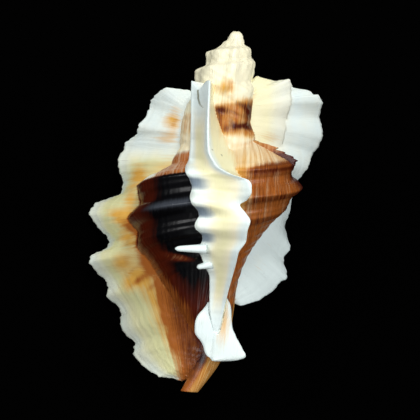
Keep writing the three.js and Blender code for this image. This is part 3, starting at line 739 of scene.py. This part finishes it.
def make_canal():
    stations = np.array(CANAL, dtype=float)
    steps = np.linspace(0, len(CANAL) - 1, CANAL_ROWS + 1)
    knots = np.arange(len(CANAL))
    down, across, height, radius = (
        smooth_along(np.stack([knots, stations[:, i]], axis=1), steps)[:, None] for i in range(4)
    )
    angles = circle(CANAL_SIDES)[None, :]
    return loft(CANAL_TUBE, at(down, across + radius * np.cos(angles), height + radius * np.sin(angles)))


def aperture_ring(turns, scale):
    shrink = math.exp(-APERTURE_SHRINK * turns)
    angles = circle(LUMEN_SIDES)
    pinch = 1 - APERTURE_PINCH * np.maximum(0, np.cos(angles))
    down = shrink * (APERTURE_DOWN + APERTURE_HALF_HEIGHT * scale * np.cos(angles))
    out = shrink * (APERTURE_OUT + APERTURE_HALF_WIDTH * scale * pinch * np.sin(angles))
    return place(down, out, LIP_AZIMUTH + 360 * turns)


def make_lumen():
    rings = []
    for turns in np.linspace(LUMEN_MOUTH_TURNS, LUMEN_TURNS, LUMEN_STEPS + 1):
        deep = max(0, turns) / LUMEN_TURNS
        rings.append(aperture_ring(turns, 1 - LUMEN_TAPER * deep ** LUMEN_TAPER_POWER))
    return loft(LUMEN, np.array(rings))


def make_rim():
    return loft(RIM, np.array([aperture_ring(*step) for step in RIM_STEPS]))


def make_lip_teeth():
    turn = circle(LIP_TEETH_SIDES)[None, :]
    tilt = np.linspace(-LIP_TEETH_TILT, LIP_TEETH_TILT, LIP_TEETH_RINGS)[:, None]
    ball = LIP_TOOTH_RADIUS * np.stack([
        np.cos(tilt) * np.cos(turn),
        np.cos(tilt) * np.sin(turn),
        np.sin(tilt) + np.zeros_like(turn),
    ], axis=-1)
    teeth = []
    for i in range(LIP_TEETH):
        angle = math.radians(lerp(*LIP_TEETH_ANGLES, i / (LIP_TEETH - 1)))
        down = APERTURE_DOWN + LIP_TEETH_REACH * APERTURE_HALF_HEIGHT * math.cos(angle)
        out = APERTURE_OUT + LIP_TEETH_REACH * APERTURE_HALF_WIDTH * math.sin(angle)
        teeth.append(loft(RIM, ball + place(down, out, LIP_AZIMUTH + LIP_TEETH_BEHIND)))
    return teeth


def add_object(name, data):
    thing = bpy.data.objects.new(name, data)
    bpy.context.collection.objects.link(thing)
    return thing


def mesh_object(name, piece):
    mesh = bpy.data.meshes.new(name)
    mesh.from_pydata(piece.vertices.tolist(), [], piece.faces)
    mesh.validate()
    bm = bmesh.new()
    bm.from_mesh(mesh)
    bmesh.ops.recalc_face_normals(bm, faces=bm.faces)
    bmesh.ops.triangulate(bm, faces=bm.faces)
    bm.to_mesh(mesh)
    bm.free()
    return add_object(name, mesh)


def boolean(target, piece, operation):
    other = mesh_object("piece", piece)
    modifier = target.modifiers.new("boolean", "BOOLEAN")
    modifier.operation = operation
    modifier.solver = "MANIFOLD"
    modifier.object = other
    bpy.context.view_layer.objects.active = target
    bpy.ops.object.modifier_apply(modifier=modifier.name)
    bpy.data.objects.remove(other)


# The largest connected part of the mesh, without the small gaps sealed inside it
def keep_largest(thing):
    mesh = thing.data
    parent = list(range(len(mesh.vertices)))

    def root(i):
        while parent[i] != i:
            parent[i] = parent[parent[i]]
            i = parent[i]
        return i

    for edge in mesh.edges:
        a, b = (root(i) for i in edge.vertices)
        parent[a] = b
    roots = np.array([root(i) for i in range(len(parent))])
    labels, counts = np.unique(roots, return_counts=True)
    kept = labels[np.argmax(counts)]
    bm = bmesh.new()
    bm.from_mesh(mesh)
    bm.verts.ensure_lookup_table()
    bmesh.ops.delete(bm, geom=[bm.verts[i] for i in np.nonzero(roots != kept)[0]], context="VERTS")
    bm.to_mesh(mesh)
    bm.free()


def all_points(mesh):
    points = np.empty(3 * len(mesh.vertices))
    mesh.vertices.foreach_get("co", points)
    return points.reshape(-1, 3)


# The shell as one closed mesh in its own coordinates, with the piece each vertex came from
def make_shell():
    solid_pieces = [
        make_body(), make_wing(LEFT, LEFT_WING), make_wing(RIGHT, RIGHT_WING), make_wing(EAR, SPIRE_EAR),
        make_strip(), make_fan(), make_canal(), make_rim(), make_thorn(LIP_TOOTH), make_thorn(LIP_SPIKE),
        make_scale(),
    ]
    lumen = make_lumen()
    teeth = make_lip_teeth()
    shell = mesh_object("shell_visual", solid_pieces[0])
    for piece in solid_pieces[1:]:
        boolean(shell, piece, "UNION")
    boolean(shell, lumen, "DIFFERENCE")
    for tooth in teeth:
        boolean(shell, tooth, "UNION")
    keep_largest(shell)
    return shell, solid_pieces + [lumen] + teeth


# Where a point of the joined mesh lies: its own place, and what the nearest source point knows
class Spots:
    def __init__(self, points, pieces):
        sources = np.concatenate([piece.vertices for piece in pieces])
        tree = kdtree.KDTree(len(sources))
        for i, source in enumerate(sources):
            tree.insert(source, i)
        tree.balance()
        nearest = np.array([tree.find(point)[1] for point in points])
        self.part, self.across, self.way, self.side = (
            np.concatenate([getattr(piece, name) for piece in pieces])[nearest]
            for name in ("part", "across", "way", "side")
        )
        self.x = points[:, 0]
        self.down = -points[:, 1]
        self.z = points[:, 2]
        self.out = np.hypot(self.x, self.z)
        self.azimuth = np.degrees(np.arctan2(self.x, self.z))
        self.turns = turns_back(self.azimuth)
        self.station = station_at(self.down, self.turns)
        self.whorl = ease(self.station, -0.3, 0.2)
        self.ramp = self.whorl * (1 - ease(self.station, 1.6, 2.0))

    def on(self, *parts):
        return np.isin(self.part, parts).astype(float)

    # 1 below this stretch of levels and 0 above it
    def below(self, start, end):
        return ease(self.down, start, end)

    def above(self, start, end):
        return 1 - ease(self.down, start, end)


# Where a level lies in the whorl's section: 2, 4 and 6 are the three cords, 0 the ramp's top
def station_at(down, turns):
    left = WHORL_LEFT[:, 0]
    right = WHORL_RIGHT[:, 0]
    levels = left[None, :] * (right / left)[None, :] ** half_turns_back(turns)[:, None]
    index = (levels < down[:, None]).sum(axis=1)
    low = np.clip(index - 1, 0, len(left) - 2)
    rows = np.arange(len(down))
    share = (down - levels[rows, low]) / (levels[rows, low + 1] - levels[rows, low])
    return np.clip(low + share, -2, len(left))


# Round or long blots as seen from above, each with its amount at its middle, added up
def stain(spots, blots):
    total = 0
    for across, down, half_width, half_length, slant, amount in blots:
        angle = math.radians(slant)
        dx = spots.x - across
        dy = spots.down - down
        u = dx * math.cos(angle) + dy * math.sin(angle)
        v = -dx * math.sin(angle) + dy * math.cos(angle)
        total = total + amount * np.exp(-((u / half_width) ** 2) - (v / half_length) ** 2)
    return total


def bump(x, middle, width):
    return np.exp(-(((x - middle) / width) ** 2))


# Sine waves of unlike lengths added up, between about -1 and 1: a fixed uneven ripple
def ripple(x, length, seed):
    total = 0
    for i in range(4):
        wave = length * (0.6 + 0.37 * i)
        total = total + np.sin(2 * math.pi * x / wave + seed * (i + 1.7)) / (1 + 0.4 * i)
    return total / 2.6


# The direction to the meeting point of the fibres, in degrees from the shell's axis
def fibre_angle(spots):
    return np.degrees(np.arctan2(spots.x - FIBRE_MEETING[0], np.maximum(FIBRE_MEETING[1] - spots.down, 0.5)))


# How far the wings' margins and the old wing's upper end move, in millimetres
def margin_shift(spots):
    edge = ease(spots.across, MARGIN_EDGE, 1)
    outward = np.stack([spots.x, 0 * spots.x, spots.z], axis=1) / np.maximum(spots.out, 1)[:, None]
    shift = 0
    for parts, run, length, seed, depth in MARGIN_STEPS:
        shift = shift + depth * spots.on(*parts) * edge * ripple(spots.way * run, length, seed)
    moved = shift[:, None] * outward
    prongs = sum(bump(spots.x, *prong) for prong in TOP_PRONGS)
    rise = PRONG_RISE * prongs - NOTCH_DEPTH * bump(spots.x, *TOP_NOTCH)
    moved[:, 1] += spots.on(STRIP) * spots.above(STRIP_TOP, STRIP_TOP + PRONG_REACH) * rise
    return moved


def body_relief(spots):
    fibres = ease(spots.station, 7.5, 9.5) * (spots.turns < 0.35)
    cords = np.cos(4 * math.pi * spots.station) * ease(spots.station, 0.5, 1.5)
    growth = ripple(spots.azimuth * 0.25, 1.1, 1.3)
    height = (1 - fibres) * (CORD_DEPTH * cords + GROWTH_DEPTH * growth)
    height += fibres * BODY_FIBRE_DEPTH * ripple(fibre_angle(spots), 3.2, 0.4) * spots.above(60, 64)
    knobs = ripple(spots.azimuth * 0.09 + spots.down * 0.6, 4.1, 0.6)
    knobs += ripple(spots.down - spots.azimuth * 0.05, 2.7, 2.3)
    return height + (1 - spots.whorl) * spots.below(1, 3) * KNOB_DEPTH * knobs


def left_wing_relief(spots):
    low = spots.below(48, 56)
    ribs = ripple(spots.way * 100, 2.6, 2.1) * ease(spots.across, 0.1, 0.4)
    fibres = ripple(fibre_angle(spots), 2.7, 0.4)
    height = lerp(lerp(*RIB_DEPTHS, spots.below(24, 34)) * ribs, WING_FIBRE_DEPTH * fibres, low)
    return height + LAMELLA_DEPTH * ripple(spots.across * 12, 1.5, 0.7)


def pale_wing_relief(spots):
    lamellae = ripple(spots.across * 12, 1.9, 0.2)
    return PALE_LAMELLA_DEPTH * lamellae + PALE_RIB_DEPTH * ripple(spots.way * 60, 3.4, 1.9)


def strip_relief(spots):
    near_lip = (1 - ease(spots.across, 0.1, 0.5)) * spots.below(26, 31) * spots.above(46, 54)
    teeth = DENTICLE_DEPTH * near_lip * fold_wave(DENTICLES, spots.down)
    return spots.side * (teeth + STRIP_DEPTH * ripple(spots.down, 2.3, 0.9))


def fan_relief(spots):
    crease = np.abs(np.tanh((spots.x - along(FAN_CREASE, spots.down)) / FAN_CREASE_WIDTH))
    return FAN_CREASE_DEPTH * crease + FAN_LINE_DEPTH * ripple(spots.x, 1.3, 0.3)


# Fine relief along the surface normal, in millimetres
def relief(spots):
    height = spots.on(BODY) * body_relief(spots)
    height += spots.on(LEFT) * left_wing_relief(spots)
    height += spots.on(RIGHT, EAR) * pale_wing_relief(spots)
    height += spots.on(STRIP) * strip_relief(spots)
    height += spots.on(FAN) * fan_relief(spots)
    return height


# How far inside the limit of the dark on the left side, from 0 to 1
def inside_dark(spots):
    return ease(spots.x - along(DARK_LIMIT, spots.down), -1.4, 1.2)


def paint_dark_side(spots, marks):
    body = spots.on(BODY)
    station = spots.station
    ramp = spots.ramp
    left = 1 - ease(spots.turns, 0.30, 0.33)
    low = ease(station, 8.0, 10.0)
    limb = 1 - ease(spots.turns, 0.11, 0.2)
    side = body * left * spots.whorl
    shade = lerp(1, inside_dark(spots), spots.below(44, 47))
    veil = ramp * ease(-VEIL_SLANT * (spots.down - VEIL_LEVEL) - spots.x, 11.3, 13.0)
    veil = np.maximum(veil, ramp * spots.above(24.6, 26.4))
    marks.blue += side * 0.6 * veil
    side = side * (1 - veil)
    marks.brown += side * (0.75 + 0.25 * low)
    marks.gold += side * 0.6 * (1 - shade)
    marks.dark += side * (1 - ramp) * (1.05 - 0.1 * low) * lerp(0.56, 1, shade)
    marks.dark += side * ramp * (0.15 + 0.5 * bump(station, 0.9, 0.3) * ease(spots.turns, 0.2, 0.3))
    marks.black += side * (1 - ramp) * (1 - 0.7 * limb) * (1 - ease(station, 8.4, 10.8)) * shade
    marks.plum += side * low * 0.35 * spots.above(56, 62) * shade
    marks.dark -= side * 0.35 * spots.below(59, 66)
    light_spot = body * left * stain(spots, LEFT_LIGHT_SPOT)
    marks.black -= 1.1 * light_spot
    marks.dark -= 0.4 * light_spot
    # Painted reflection: a grey stripe of light reflected along a cord of the black side
    marks.sheen += side * bump(station, 3.9, 0.3) * (1 - limb)


# The orange right side, darker on its cords and toward the limb
def paint_right_side(spots, marks):
    station = spots.station
    turns = spots.turns
    ramp = spots.ramp
    under = ease(turns, 0.66, 0.8)
    cords = bump(station, 2.2, 0.3) + 0.8 * bump(station, 4.4, 0.35) + 0.6 * bump(station, 6.4, 0.4)
    side = spots.on(BODY) * ease(turns, 0.30, 0.33) * spots.whorl * (1 - 0.75 * under)
    beside = 1 - ease(turns, 0.335, 0.375 + 0.05 * ramp)
    edge = ease(turns, 0.47, 0.56) * (1 - ease(turns, 0.6, 0.7))
    shoulder = bump(station, 1.8, 0.28) * (1 - beside)
    marks.brown += side * (1 - ramp) * (0.8 - 0.45 * beside)
    marks.brown += side * ramp * (0.3 + 0.35 * edge - 0.2 * beside)
    marks.brown += side * 0.5 * shoulder
    marks.dark += side * (1 - ramp) * (0.42 + 0.36 * cords + 0.5 * edge) * (1 - beside)
    marks.dark += side * ramp * (0.65 * edge + 0.75 * shoulder)
    marks.plum += side * (1 - ramp) * edge * 0.45
    marks.gold += side * (0.55 + 0.3 * beside * (1 - ramp) - 0.15 * ramp * ease(1 - station, 0, 1))


def paint_spire(spots, marks):
    spire = spots.on(BODY) * (1 - spots.whorl)
    last = ease(spots.down + 0.3 * spots.x, 13.8, 16.2) * spots.above(20.9, 22.8)
    shown = last * (0.55 + 0.45 * ease(spots.x, -6, -3))
    band = stain(spots, SPIRE_BAND)
    mottle = stain(spots, SPIRE_MOTTLE)
    marks.yellow += spire * 0.25
    marks.gold += spire * (shown * 0.8 + 0.3 * spots.below(21.0, 22.2) + stain(spots, SPIRE_GOLD))
    marks.brown += spire * (shown * 0.66 - 0.6 * band + stain(spots, SPIRE_BROWN))
    marks.dark += spire * last * (1.05 * mottle - 0.3 * band)
    marks.plum += spire * last * 0.22 * mottle


def paint_left_wing(spots, marks):
    wing = spots.on(LEFT) * spots.side
    inner = spots.on(LEFT) * (1 - spots.side)
    past_gold = spots.x - along(GOLD_LIMIT, spots.down)
    past_brown = spots.x - along(BROWN_LIMIT, spots.down)
    high = spots.above(24, 30)
    lower = spots.below(50, 58)
    gold = ease(past_gold, -2.0, 6.0 - 3.0 * lower) * (1 - 0.9 * high) * (0.6 + 0.4 * lower)
    brown = ease(past_brown, -2.6, 1.4) * (1 - high) * spots.below(35, 42)
    dark = ease(past_brown, -1.0, 3.0) * spots.below(42, 50)
    limb = ease(spots.x + radius_at(spots.down, -90), -0.9, 0.1)
    limb = limb * spots.below(30, 33) * spots.above(45, 48)
    pale = ease(spots.across, 0.62, 0.95)
    marks.green += wing * (0.55 + 0.4 * ease(past_gold, -6, 1)) * (1 - 0.75 * high)
    marks.gold += wing * (0.8 * gold + stain(spots, LEFT_GOLD))
    marks.brown += wing * ((0.62 + 0.25 * lower) * brown + limb + stain(spots, LEFT_BROWN))
    marks.dark += wing * ((0.46 + 0.16 * lower) * dark + 1.15 * limb)
    marks.dark += wing * 0.8 * inside_dark(spots) * spots.below(44, 46)
    marks.blue += wing * np.maximum(pale * 0.6, high * 0.75)
    marks.blue += inner * 0.55
    marks.yellow += inner * 0.4 * (1 - spots.across)


def paint_pale_wings(spots, marks):
    right = spots.on(RIGHT)
    ear = spots.on(EAR)
    far = ease(spots.x, 6, 14)
    low = spots.below(22, 30)
    marks.blue += right * np.maximum(0.75 * far, 0.9 * low)
    marks.yellow += right * 0.35 * (1 - far) * (1 - low)
    marks.blue += ear * 0.45 * ease(spots.x, 5, 12)
    marks.yellow += ear * 0.6 * (1 - ease(spots.x, 7, 12))
    marks.gold += (ear + right) * stain(spots, PALE_GOLD)


def paint_strip_front(spots, marks):
    front = spots.on(STRIP) * spots.side
    near_lip = 1 - ease(spots.across, 0.12, 0.42)
    pale = 0.85 * ease(spots.across, 0.65, 0.95) + 0.75 * near_lip
    ends = 0.85 * np.maximum(spots.above(15, 24), spots.below(54, 60))
    centre = bump(spots.across, 0.5, 0.24) * spots.below(16, 24) * spots.above(52, 58)
    shaded_hollows = ease(-fold_wave(DENTICLES, spots.down), -0.1, 0.8)
    marks.blue += front * np.maximum(pale, ends)
    marks.yellow += front * 0.75 * centre
    # Painted shade in the gaps between the small teeth near the lip
    marks.grey += front * near_lip * spots.below(29.5, 32) * spots.above(44, 48) * shaded_hollows * 0.85
    cracked = (spots.down > CRACK_TOP) * spots.above(16.8, 17.4)
    marks.grime += front * cracked * bump(spots.x, along(CRACK, spots.down), CRACK_WIDTH) * 0.8


def paint_strip_rear(spots, marks):
    rear = spots.on(STRIP) * (1 - spots.side)
    marks.blue += rear * 0.7 * ease(spots.across, 0.7, 1)
    marks.yellow += rear * 0.7
    marks.gold += rear * 0.55 * ease(1 - spots.across, 0.4, 1)
    low = spots.below(34, 40) * spots.above(53, 60)
    marks.brown += rear * low * 0.75 * ease(1 - spots.across, 0.35, 0.8)


def paint_canal(spots, marks):
    canal = spots.on(CANAL_TUBE)
    middle = along([station[:2] for station in CANAL], spots.down)
    shaded = ease(middle - spots.x, -0.2, 1.0) * ease(spots.z, -2.2, -0.6)
    marks.gold += canal * 0.8
    marks.dark += canal * 0.36
    marks.brown += canal * (0.45 + 0.5 * shaded)
    marks.plum += canal * shaded * 0.85 * bump(spots.down, 68, 4)


# The small parts, the dirt, and the pale wash by the aperture
def paint_small_parts(spots, marks):
    fan = spots.on(FAN)
    scale = spots.on(SCALE)
    rim = spots.on(RIM)
    behind = rim * (spots.turns < 0.5)
    marks.blue += fan * 0.85 + spots.on(THORN) * 0.9 + (spots.on(LUMEN) + rim - behind) * 0.5
    marks.gold += fan * stain(spots, FAN_GOLD) + scale * 0.7
    marks.brown += scale * (0.5 + 0.5 * spots.way) + behind
    marks.dark += scale * ease(spots.way, 0.25, 0.7) + behind * 0.8
    marks.plum += scale * ease(spots.way, 0.5, 0.8) * 0.7
    marks.yellow += spots.on(LUMEN) * 0.4
    marks.blue += spots.on(BODY) * ease(spots.turns, 0.86, 0.97) * 0.7
    marks.grime += stain(spots, GRIME_SPECKS) * (spots.z > -9)


# The amount of each mark at each vertex, from 0 to 1
def paint(spots):
    marks = SimpleNamespace(**{layer[0]: np.zeros(len(spots.part)) for layer in MARK_LAYERS})
    for paint_part in (
        paint_dark_side, paint_right_side, paint_spire, paint_left_wing, paint_pale_wings,
        paint_strip_front, paint_strip_rear, paint_canal, paint_small_parts,
    ):
        paint_part(spots, marks)
    return {name: np.clip(amount, 0, 1) for name, amount in vars(marks).items()}


# Millimetres along and across the streaks of the colour
def streak_flow(spots):
    growth = np.stack([spots.down, np.radians(spots.azimuth) * np.maximum(spots.out, 4)], axis=1)
    radial = np.stack([spots.across * 12, spots.way * 80 + 40], axis=1)
    fibres = np.stack([spots.down, fibre_angle(spots) * 0.35], axis=1)
    wing = spots.on(LEFT, RIGHT, EAR)[:, None]
    low = (spots.below(47, 52) * (spots.x < 0))[:, None]
    flow = lerp(lerp(growth, radial, wing), fibres, low)
    return np.concatenate([flow, spots.part[:, None] * 7.0], axis=1)


def vertex_normals(mesh):
    normals = np.empty(3 * len(mesh.vertices))
    mesh.vertex_normals.foreach_get("vector", normals)
    return normals.reshape(-1, 3)


# A turn by this many degrees from one axis toward another
def turn(degrees, start, end):
    angle = math.radians(degrees)
    matrix = np.eye(3)
    matrix[[start, end], [start, end]] = math.cos(angle)
    matrix[start, end] = -math.sin(angle)
    matrix[end, start] = math.sin(angle)
    return matrix


def rest_transform(points):
    return points @ (turn(REST_ROLL, 2, 0) @ turn(REST_PITCH, 1, 2) @ turn(-AXIS_LEAN, 0, 1)).T


def set_attribute(mesh, name, values):
    kind = "FLOAT" if values.ndim == 1 else "FLOAT_VECTOR"
    attribute = mesh.attributes.new(name, kind, "POINT")
    attribute.data.foreach_set("value" if values.ndim == 1 else "vector", values.astype(np.float32).ravel())


# The relief added to the shell, which is then laid down on the floor in metres
def lay_down(shell, points, spots):
    carved = points + relief(spots)[:, None] * vertex_normals(shell.data) + margin_shift(spots)
    upright = rest_transform(points)
    shift = -(upright.min(axis=0) + upright.max(axis=0)) / 2
    shift[2] = -upright[:, 2].min()
    placed = rest_transform(carved) + shift
    placed[:, 2] = np.maximum(placed[:, 2], 0)
    shell.data.vertices.foreach_set("co", (placed * MM).ravel())
    shell.data.shade_smooth()


# The colour of an sRGB code as linear shares, with its opacity
def colour(code):
    shares = [int(code[i:i + 2], 16) / 255 for i in (0, 2, 4)]
    return [share / 12.92 if share <= 0.04045 else ((share + 0.055) / 1.055) ** 2.4 for share in shares] + [1]


def set_inputs(node, values):
    for name, value in values.items():
        node.inputs[name].default_value = value


class Nodes:
    def __init__(self, material):
        self.tree = material.node_tree
        self.shader = self.tree.nodes["Principled BSDF"]

    def add(self, kind, **settings):
        node = self.tree.nodes.new(kind)
        for name, value in settings.items():
            setattr(node, name, value)
        return node

    def link(self, output, socket):
        self.tree.links.new(output, socket)

    def attribute(self, name, output="Fac"):
        return self.add("ShaderNodeAttribute", attribute_name=name).outputs[output]

    # a * factor + b, held between 0 and 1 when asked
    def multiply_add(self, a, factor, b, clamp=False):
        node = self.add("ShaderNodeMath", operation="MULTIPLY_ADD", use_clamp=clamp)
        for socket, value in zip(node.inputs, (a, factor, b)):
            if isinstance(value, (int, float)):
                socket.default_value = value
            else:
                self.link(value, socket)
        return node.outputs[0]

    def noise(self, vector, stretch, detail, roughness=0.55):
        mapping = self.add("ShaderNodeMapping")
        self.link(vector, mapping.inputs["Vector"])
        mapping.inputs["Scale"].default_value = stretch
        noise = self.add("ShaderNodeTexNoise")
        self.link(mapping.outputs[0], noise.inputs["Vector"])
        set_inputs(noise, {"Scale": 1, "Detail": detail, "Roughness": roughness})
        return noise.outputs[0]

    # A mark's amount with a ragged border drawn by noise
    def ragged(self, mark, noise, depth, gain):
        level = self.multiply_add(noise, gain * depth, 0.5 - gain / 2 - gain * depth / 2)
        return self.multiply_add(self.attribute(mark), gain, level, clamp=True)

    def over(self, below, code, amount):
        mix = self.add("ShaderNodeMix", data_type="RGBA")
        self.link(amount, mix.inputs["Factor"])
        if isinstance(below, str):
            mix.inputs[6].default_value = colour(below)
        else:
            self.link(below, mix.inputs[6])
        mix.inputs[7].default_value = colour(code)
        return mix.outputs[2]


def new_material(name):
    material = bpy.data.materials.new(name)
    material.use_nodes = True
    return material, Nodes(material)


def shell_material():
    material, nodes = new_material("shell_surface")
    flow = nodes.attribute("flow", "Vector")
    place_in_shell = nodes.add("ShaderNodeTexCoord").outputs["Object"]
    noises = {
        "streaks": nodes.noise(flow, (0.12, 1.3, 1), 5),
        "threads": nodes.noise(flow, (0.22, 4.5, 1), 3),
        "clouds": nodes.noise(place_in_shell, (260, 260, 260), 4),
        "patches": nodes.noise(place_in_shell, (520, 520, 520), 4, 0.6),
    }
    base = CREAM
    for mark, code, noise, depth, gain in MARK_LAYERS:
        base = nodes.over(base, code, nodes.ragged(mark, noises[noise], depth, gain))
    nodes.link(base, nodes.shader.inputs["Base Color"])
    set_inputs(nodes.shader, SHELL_FINISH)
    lines = nodes.add("ShaderNodeBump")
    set_inputs(lines, SHELL_LINES)
    nodes.link(noises["threads"], lines.inputs["Height"])
    nodes.link(lines.outputs[0], nodes.shader.inputs["Normal"])
    return material


def add_shell():
    shell, pieces = make_shell()
    points = all_points(shell.data)
    spots = Spots(points, pieces)
    for mark, amount in paint(spots).items():
        set_attribute(shell.data, mark, amount)
    set_attribute(shell.data, "flow", streak_flow(spots))
    lay_down(shell, points, spots)
    shell.data.materials.clear()
    shell.data.materials.append(shell_material())
    return shell


def add_camera():
    camera_data = bpy.data.cameras.new("camera")
    camera_data.lens = CAMERA_LENS
    camera_data.sensor_width = CAMERA_LENS * PHOTO_WIDTH_MM * MM / (CAMERA_HEIGHT - FRAMED_HEIGHT)
    camera = add_object("camera", camera_data)
    camera.location = (PHOTO_CENTRE_MM[0] * MM, PHOTO_CENTRE_MM[1] * MM, CAMERA_HEIGHT)
    bpy.context.scene.camera = camera


def add_light(name, where, size, power):
    light_data = bpy.data.lights.new(name, "AREA")
    light_data.shape = "DISK"
    light_data.size = size
    light_data.energy = power
    light = add_object(name, light_data)
    light.location = where
    light.rotation_euler = (-Vector(where)).to_track_quat("-Z", "Y").to_euler()


def add_floor():
    mesh = bpy.data.meshes.new("floor")
    corners = [(-1, -1, 0), (1, -1, 0), (1, 1, 0), (-1, 1, 0)]
    mesh.from_pydata([Vector(corner) * FLOOR_REACH for corner in corners], [], [(0, 1, 2, 3)])
    material, nodes = new_material("floor_paper")
    set_inputs(nodes.shader, FLOOR_FINISH)
    mesh.materials.append(material)
    floor = add_object("floor", mesh)


def add_world():
    world = bpy.data.worlds.new("studio")
    world.use_nodes = True
    set_inputs(world.node_tree.nodes["Background"], WORLD)
    bpy.context.scene.world = world


shell = add_shell()
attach(shell, "root")
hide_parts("shell")
add_camera()
for light in LIGHTS:
    add_light(*light)
add_floor()
add_world()
bpy.context.scene.view_settings.view_transform = "Standard"
